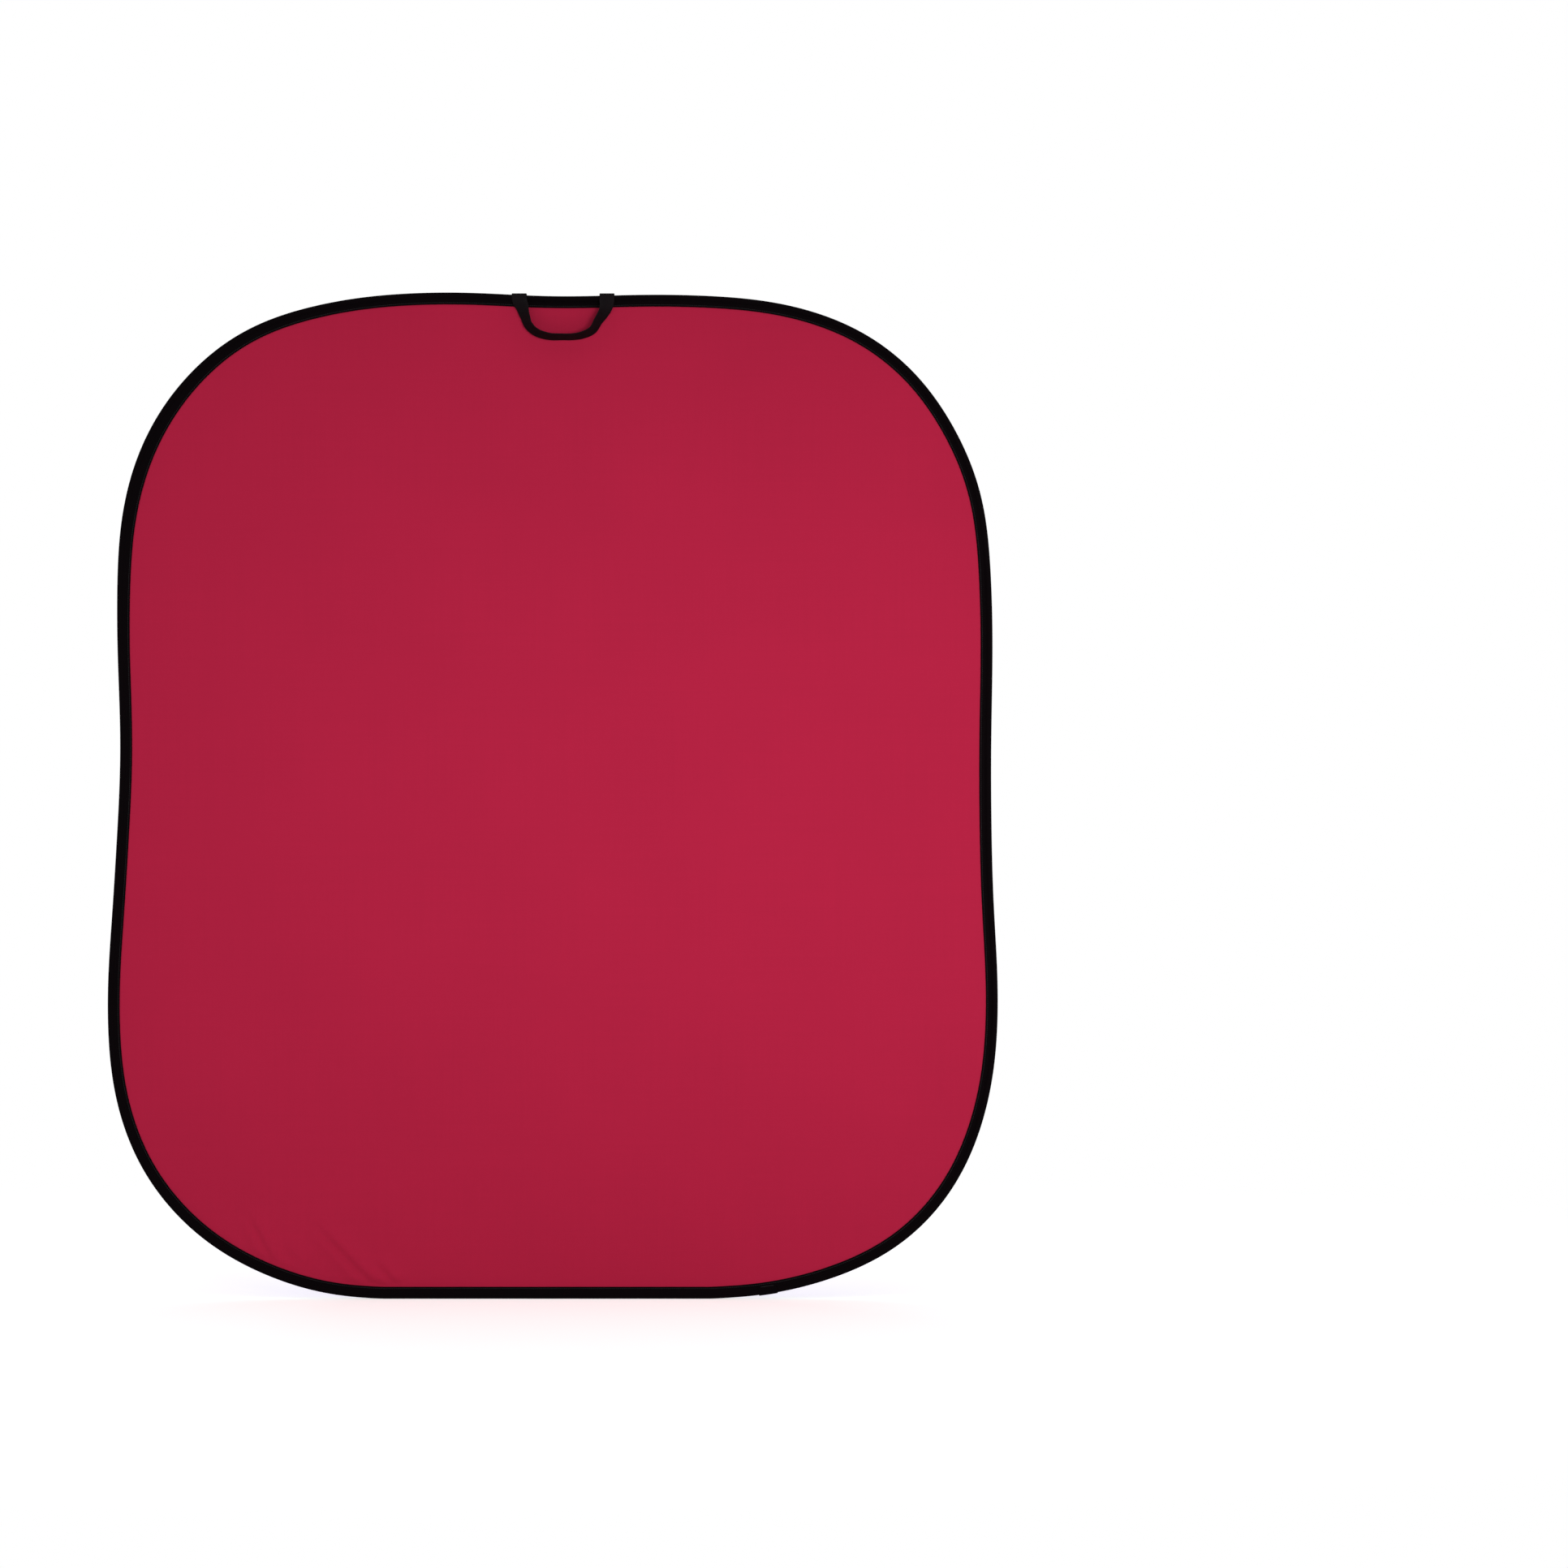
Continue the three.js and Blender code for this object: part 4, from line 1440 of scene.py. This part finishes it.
@dataclass
class Handle:
    """The webbing handle: two ends sewn to the purple face, and one strap that hangs over the rim.

    The loop's shares are, for each point of its line, x of half the ends' spacing, z of the drop, y of the
    stand-off, and the webbing's turn of its turn at the bow. A bend is how far it starts and ends from the
    strap's outer corner at the rim.
    """

    width: float = 25 * MM
    thickness: float = 1.8 * MM
    drop: float = 71 * MM
    stand_off: float = 16 * MM
    bow_turn: float = math.radians(70)
    flat_points: int = 7
    selvedge_turns: tuple[float, ...] = (60, 30, 0, -30, -60)
    soft_edge: float = math.radians(50)
    corner_radius: float = 2.4 * MM
    corner_points: int = 9
    level_points: int = 4
    sewn_depth: float = 19 * MM
    slope_start: float = 11.7 * MM
    slope_end: float = 7.0 * MM
    slope_ease: tuple[float, float] = (0.25 * MM, 0.4 * MM)
    sewn_runs: tuple[float, ...] = (0, 0.3 * MM, 1 * MM, 4 * MM)
    rim_runs: tuple[float, ...] = (0.4 * MM, 3 * MM, 6 * MM)
    cut_thinning: tuple[float, ...] = (0.55, 0.85)
    under_layer: float = 1.05 * MM
    under_runs: tuple[float, ...] = (0, 0.3 * MM, 1 * MM, 3 * MM, 5.5 * MM, 6.6 * MM, 6.9 * MM)
    under_thinning: float = 0.6
    rear_bend: tuple[float, float] = (-7.5 * MM, 0.5 * MM)
    front_bend: tuple[float, float] = (-4 * MM, 4.5 * MM)
    stitch: Stitch = Stitch(2.16 * MM, 0.75 * MM, 0.6 * MM)
    stitch_pitch: float = 2.4 * MM
    stitch_lift: float = 0.12 * MM
    loop_stations: int = 110
    loop_shares: tuple[tuple[float, float, float, float], ...] = (
        (-1, 0, 0, 0), (-1, 0.1, 0.03, 0), (-0.975, 0.18, 0.12, 0.16), (-0.93, 0.28, 0.26, 0.42),
        (-0.86, 0.515, 0.54, 0.7), (-0.775, 0.745, 0.78, 0.8), (-0.6, 0.915, 0.91, 0.88),
        (-0.3, 1.015, 0.98, 0.96), (0, 1.025, 1, 1), (0.2, 1.025, 0.99, 1), (0.44, 0.985, 0.95, 0.96),
        (0.68, 0.86, 0.86, 0.9), (0.81, 0.635, 0.69, 0.84), (0.94, 0.41, 0.44, 0.64),
        (0.985, 0.27, 0.25, 0.38), (0.997, 0.185, 0.12, 0.15), (1, 0.1, 0.03, 0), (1, 0, 0, 0),
    )

    def section(self) -> np.ndarray:
        """Draws the webbing's section: flat, with round selvedges.

        Returns:
            Rows of three shares: of the flat's half width, and outwards and upwards of half the thickness.
            The first row is repeated at the end.
        """
        half = [(place, 0, 1) for place in np.linspace(-1, 1, self.flat_points)]
        half += [(1, math.cos(turn), math.sin(turn)) for turn in np.radians(self.selvedge_turns)]
        rows = np.array(half)
        return np.vstack([rows, -rows, rows[:1]])

    def ribbon(
        self, name: str, centres: np.ndarray, across: np.ndarray, thickness: np.ndarray
    ) -> bpy.types.Object:
        """Builds a length of webbing with round selvedges.

        Args:
            name: The piece's name.
            centres: The webbing's middle line, one point in each row.
            across: The direction of its width at each point.
            thickness: Its thickness at each point.

        Returns:
            The piece, closed at both ends.
        """
        along = unit_vectors(np.gradient(centres, axis=0))
        across = unit_vectors(across - np.sum(across * along, axis=1, keepdims=True) * along)
        through = np.cross(along, across)
        section = self.section()
        station, spot = lattice(len(centres), len(section))
        flat, out, up = section.T
        usual = self.thickness / 2
        girth = path_lengths(np.column_stack([flat * (self.width / 2 - usual) + out * usual, up * usual]))
        half = thickness[station] / 2
        wide = flat[spot] * (self.width / 2 - half) + out[spot] * half
        high = up[spot] * half
        points = centres[station] + wide[:, None] * across[station] + high[:, None] * through[station]
        places = np.column_stack([path_lengths(centres)[station], girth[spot]])
        piece = closed_sweep(name, len(centres), points, places, HANDLE_WEBBING, self.soft_edge)
        return piece

    def corner(self, top: float, reach: float) -> np.ndarray:
        """Draws the strap's bend over the rim, from the middle of the rim to the front or rear.

        Args:
            top: The height of the strap's middle line over the rim.
            reach: How far from the middle plane its middle line hangs, as a positive number.

        Returns:
            Rows of distance from the middle plane and z.
        """
        radius = self.corner_radius
        straight = np.linspace(0, reach - radius, self.level_points, endpoint=False)
        angles = np.radians(np.linspace(90, 0, self.corner_points))
        level = np.column_stack([straight, np.full(len(straight), top)])
        bend = np.column_stack([np.cos(angles), np.sin(angles)]) * radius + (reach - radius, top - radius)
        return np.vstack([level, bend])

    def build_end(self, side: Side) -> bpy.types.Object:
        """Builds one sewn end of the strap, up to the middle of the rim.

        Args:
            side: Which end.

        Returns:
            The piece.
        """
        name = side.name.lower()
        low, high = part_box(f"handle_end_{name}")
        over_low, over_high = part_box(f"handle_crossover_{name}")
        x = (low.x + high.x) / 2
        half = self.thickness / 2
        top = (over_low.z + over_high.z) / 2
        sewn, reach = low.y + half, high.y - half
        edge = low.z + self.sewn_depth
        slope_low, slope_high = edge - self.slope_start, edge - self.slope_end
        out, run = self.slope_ease
        rising = [
            *((sewn, low.z + above) for above in self.sewn_runs),
            (sewn, slope_low - run),
            (sewn + out, slope_low + run),
            ((sewn + reach) / 2, (slope_low + slope_high) / 2),
            (reach - out, slope_high - run),
            *((reach, slope_high + above) for above in self.rim_runs),
        ]
        path = np.vstack([rising, self.corner(top, reach)[::-1]])
        centres = np.column_stack([np.full(len(path), x), path])
        across = np.tile((1.0, 0.0, 0.0), (len(path), 1))
        thickness = np.full(len(path), self.thickness)
        thickness[: len(self.cut_thinning)] *= self.cut_thinning
        piece = self.ribbon(f"handle_strap_end_{name}", centres, across, thickness)
        self.add_under_layer(piece, x, low)
        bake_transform(piece)
        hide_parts(f"handle_end_{name}", f"handle_crossover_{name}")
        return piece

    def add_under_layer(self, piece: bpy.types.Object, x: float, low: Vector) -> None:
        """Adds the webbing's turned-under end, between the strap and the hem.

        Args:
            piece: The strap's end, which the layer is joined to.
            x: The strap's middle.
            low: The lowest corner of the sewn end.
        """
        run = np.array(self.under_runs) + low.z
        middle = low.y - self.under_layer / 2
        centres = np.column_stack([np.full(len(run), x), np.full(len(run), middle), run])
        across = np.tile((1.0, 0.0, 0.0), (len(run), 1))
        thickness = np.full(len(run), self.under_layer)
        thickness[[0, -1]] *= self.under_thinning
        layer = self.ribbon("under_layer", centres, across, thickness)
        pick(piece)
        layer.select_set(True)
        bpy.ops.object.join()

    def build_strap(self) -> bpy.types.Object:
        """Builds the strap from the middle of the rim, down into its bow and up again.

        Returns:
            The piece.
        """
        left_low, left_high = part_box("handle_crossover_left")
        right_low, right_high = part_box("handle_crossover_right")
        loop_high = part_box("handle_loop")[1]
        left, right = (left_low.x + left_high.x) / 2, (right_low.x + right_high.x) / 2
        middle, half_span = (left + right) / 2, (right - left) / 2
        top = (left_low.z + left_high.z) / 2
        reach = left_high.y - self.thickness / 2
        shares = np.array(self.loop_shares)
        scaled = shares[:, :3] * (half_span, -self.drop, -self.stand_off) + (middle, loop_high.z, -reach)
        curve = SmoothCurve(scaled[:, [0, 2, 1]], closed=False)
        begin = (loop_high.z - (top - self.corner_radius)) / (shares[1, 1] * self.drop) / curve.spans
        places = np.linspace(begin, 1 - begin, self.loop_stations)
        loop = curve.at(places)
        turn = np.interp(places, np.linspace(0, 1, len(shares)), shares[:, 3]) * self.bow_turn
        along = curve.along(places)
        inwards = unit_vectors(upright(np.column_stack([-along[:, 2], along[:, 0]])))
        twist = np.cos(turn)[:, None] * inwards - np.sin(turn)[:, None] * (0, 1, 0)
        over = self.corner(top, reach)[:-1]
        rear = [np.column_stack([np.full(len(over), x), -over[:, 0], over[:, 1]]) for x in (left, right)]
        centres = np.vstack([rear[0], loop, rear[1][::-1]])
        flat = np.tile((1.0, 0.0, 0.0), (len(over), 1))
        across = np.vstack([flat, twist, -flat])
        piece = self.ribbon("handle_strap", centres, across, np.full(len(centres), self.thickness))
        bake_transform(piece)
        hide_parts("handle_loop")
        return piece

    def build_stitching(self, side: Side) -> bpy.types.Object:
        """Builds the boxed cross of stitches that holds one end.

        Args:
            side: Which end.

        Returns:
            The piece.
        """
        name = f"handle_stitching_{side.name.lower()}"
        low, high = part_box(name)
        corners = ((low.x, low.z), (high.x, low.z), (high.x, high.z), (low.x, high.z))
        a, b, c, d = (np.array(corner) for corner in corners)
        places, aheads = [], []
        for start, end in ((a, b), (b, c), (c, d), (d, a), (a, c), (b, d)):
            length = float(np.linalg.norm(end - start))
            count = max(2, round(length / self.stitch_pitch))
            for step in range(count):
                places.append(start + (end - start) * (step + 1 / 2) / count)
                aheads.append((end - start) / length)
        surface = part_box(f"handle_end_{side.name.lower()}")[0].y + self.thickness
        points = upright(np.array(places), surface + self.stitch_lift)
        piece = self.stitch.sew(f"{name}_box", points, upright(np.array(aheads)), Face.REAR)
        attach(piece, "upper_half")
        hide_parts(name)
        return piece


# Studio


@dataclass
class Studio:
    """The plain pale floor, the soft light and the camera.

    The photograph's scale and the two pixels that fix its framing place the camera.
    """

    photo_size: int = 1932
    mm_per_pixel: float = 1.369
    middle_pixel: float = 681.5
    floor_pixel: float = 1600.0
    camera_distance: float = 9.0
    sensor_width: float = 36.0
    floor_size: float = 80.0
    floor_near: float = 1.0
    floor_far: float = 2.8
    floor_lift: float = 0.5
    floor_colour: str = "F6F6F6"
    ambient: float = 0.61
    key_place: tuple[float, float, float] = (2.6, 6.0, 1.0)
    key_target: tuple[float, float, float] = (0.7, 0.0, 0.86)
    key_size: tuple[float, float] = (3.2, 1.0)
    key_power: float = 9.8
    key_spread: float = math.radians(30)

    def build_camera(self) -> None:
        """Places a level camera that frames the panel as the photograph does."""
        centre = self.photo_size / 2
        x = (centre - self.middle_pixel) * self.mm_per_pixel * MM
        z = (self.floor_pixel - centre) * self.mm_per_pixel * MM
        bpy.ops.object.camera_add(location=(x, -self.camera_distance, z), rotation=(math.pi / 2, 0, 0))
        camera = bpy.context.active_object
        seen = self.photo_size * self.mm_per_pixel * MM
        camera.data.sensor_width = self.sensor_width
        camera.data.lens = self.sensor_width * self.camera_distance / seen
        bpy.context.scene.camera = camera

    def build_floor(self) -> None:
        """Lays the floor. It keeps the panel's shadow, and turns to plain white further out."""
        deselect_all()
        bpy.ops.mesh.primitive_plane_add(size=self.floor_size, location=(0, 0, 0))
        floor = bpy.context.active_object
        floor.name = "studio_floor"
        # Matt near-white paint: a soft shadow near the panel, and no edge between floor and background.
        material = bpy.data.materials.new("Painted_studio_floor")
        tree, output = new_tree(material)
        places = add_node(tree, "TexCoord").outputs["Object"]
        away = add_node(tree, "VectorMath", {0: places}, operation="LENGTH")
        edges = {"Value": away.outputs["Value"], "From Min": self.floor_near, "From Max": self.floor_far}
        fade = add_node(tree, "MapRange", edges, interpolation_type="SMOOTHSTEP")
        seen = add_node(tree, "LightPath").outputs["Is Camera Ray"]
        share = add_node(tree, "Math", {0: fade.outputs[0], 1: seen}, operation="MULTIPLY")
        lift = add_node(tree, "Math", {0: seen, 1: self.floor_lift}, operation="MULTIPLY")
        paint = add_node(tree, "BsdfDiffuse", {"Color": linear(self.floor_colour)})
        glow = add_node(tree, "Emission", {"Color": (1, 1, 1, 1), "Strength": lift.outputs[0]})
        lit = add_node(tree, "AddShader", {0: paint.outputs[0], 1: glow.outputs[0]})
        white = add_node(tree, "Emission", {"Color": (1, 1, 1, 1), "Strength": 1.0})
        mixed = add_node(tree, "MixShader", {0: share.outputs[0], 1: lit.outputs[0], 2: white.outputs[0]})
        tree.links.new(mixed.outputs[0], output.inputs["Surface"])
        floor.data.materials.append(material)

    def build_world(self) -> None:
        """Makes the background white to the eye and in reflections, and a softer grey as light."""
        world = bpy.data.worlds.new("Studio_world")
        bpy.context.scene.world = world
        world.use_nodes = True
        tree = world.node_tree
        tree.nodes.clear()
        output = add_node(tree, "OutputWorld")
        path = add_node(tree, "LightPath")
        seen = path.outputs["Is Camera Ray"]
        for ray in ("Is Glossy Ray", "Is Transmission Ray"):
            seen = add_node(tree, "Math", {0: seen, 1: path.outputs[ray]}, operation="MAXIMUM").outputs[0]
        light = add_node(tree, "Background", {"Color": (1, 1, 1, 1), "Strength": self.ambient})
        white = add_node(tree, "Background", {"Color": (1, 1, 1, 1), "Strength": 1.0})
        mixed = add_node(tree, "MixShader", {0: seen, 1: light.outputs[0], 2: white.outputs[0]})
        tree.links.new(mixed.outputs[0], output.inputs["Surface"])

    def add_softbox(self, face: Face) -> None:
        """Adds the softbox that lights one face, from that face's right.

        Its beam is narrow, so that the light is brightest to the right of the face's middle.

        Args:
            face: The face that it lights.
        """
        turned = Vector((-face.value, face.value, 1))
        place = Vector(self.key_place) * turned
        target = Vector(self.key_target) * turned
        bpy.ops.object.light_add(type="AREA", location=place)
        lamp = bpy.context.active_object
        lamp.name = f"{face.name.lower()}_softbox"
        lamp.data.shape = "RECTANGLE"
        lamp.data.size, lamp.data.size_y = self.key_size
        lamp.data.energy = self.key_power
        lamp.data.spread = self.key_spread
        lamp.rotation_euler = (target - place).to_track_quat("-Z", "Y").to_euler()

    def build(self) -> None:
        """Builds the camera, the floor, the background and the lights."""
        bpy.context.scene.view_settings.view_transform = "Standard"
        self.build_camera()
        self.build_floor()
        self.build_world()
        for face in Face:
            self.add_softbox(face)


def build_cloths(rim: Rim, fold: Fold) -> list[StretchedCloth]:
    """Builds the two coloured cloths and the lining between them.

    Args:
        rim: The rim that they fill.
        fold: Where they bend.

    Returns:
        The cloths.
    """
    red_creases = (
        Crease((-473 * MM, 70 * MM), (-510 * MM, 140 * MM), 4.4 * MM, 6 * MM),
        Crease((-302 * MM, 27 * MM), (-396 * MM, 124 * MM), 5.4 * MM, 7 * MM),
        Crease((-264 * MM, 27 * MM), (-298 * MM, 66 * MM), 4.2 * MM, 6 * MM),
        Crease((-420 * MM, 58 * MM), (-455 * MM, 92 * MM), 2.4 * MM, 9 * MM),
    )
    purple_creases = (
        Crease((-94 * MM, 25 * MM), (-30 * MM, 74 * MM), 4.2 * MM, 6 * MM),
        Crease((-172 * MM, 25 * MM), (-124 * MM, 78 * MM), 4.2 * MM, 6 * MM),
        Crease((-230 * MM, 29 * MM), (-198 * MM, 57 * MM), 3.4 * MM, 6 * MM),
        Crease((-360 * MM, 44 * MM), (-294 * MM, 84 * MM), 4.0 * MM, 7 * MM),
        Crease((-426 * MM, 37 * MM), (-376 * MM, 48 * MM), 2.6 * MM, 8 * MM),
    )
    red_nodes = ("red_cloth_upper", "red_cloth_lower")
    purple_nodes = ("purple_cloth_upper", "purple_cloth_lower")
    lining_nodes = ("lining_upper", "lining_lower")
    front, rear = Face.FRONT, Face.REAR
    off = 0.9 * MM
    cloths = [
        StretchedCloth("red_cloth", RED_CLOTH, "red_cloth", red_nodes, -off, front, red_creases),
        StretchedCloth(
            "purple_cloth", PURPLE_CLOTH, "purple_cloth", purple_nodes, off, rear, purple_creases
        ),
        StretchedCloth("lining", LINING_CLOTH, "lining", lining_nodes, 0.0, front, columns=60, rows=90),
    ]
    for cloth in cloths:
        piece = cloth.build(rim, fold)
        log.info("%s: %d faces", piece.name, len(piece.data.polygons))
    return cloths


def main() -> None:
    """Builds the whole panel and its studio, in order."""
    logging.basicConfig(level=logging.INFO, format="%(message)s")
    for node in frame["nodes"].values():
        node.select_set(False)
    Studio().build()
    rim = Rim()
    hinge = next(joint for joint in frame["joints"] if joint["name"] == "fold")
    fold = Fold(height=hinge["pos_m"][2])
    cloths = build_cloths(rim, fold)
    binding = Binding()
    tape = binding.build_tape(rim, fold)
    seams = {face: binding.build_seam(rim, fold, face) for face in Face}
    pieces = [tape, *seams.values(), binding.build_lap(rim)]
    pieces += [binding.build_tack(rim, face) for face in Face]
    hoop = Hoop().build(rim, fold)
    pieces.append(hoop)
    handle = Handle()
    pieces.append(handle.build_strap())
    for side in Side:
        pieces += [handle.build_end(side), handle.build_stitching(side)]
    for piece in pieces:
        log.info("%s: %d faces", piece.name, len(piece.data.polygons))
    sewn_on = ([seams[Face.FRONT]], [seams[Face.REAR]], [])
    for cloth, sewn in zip(cloths, sewn_on):
        cloth.declare(rim, sewn, [tape.name, hoop.name])


if __name__ == "__main__":
    main()
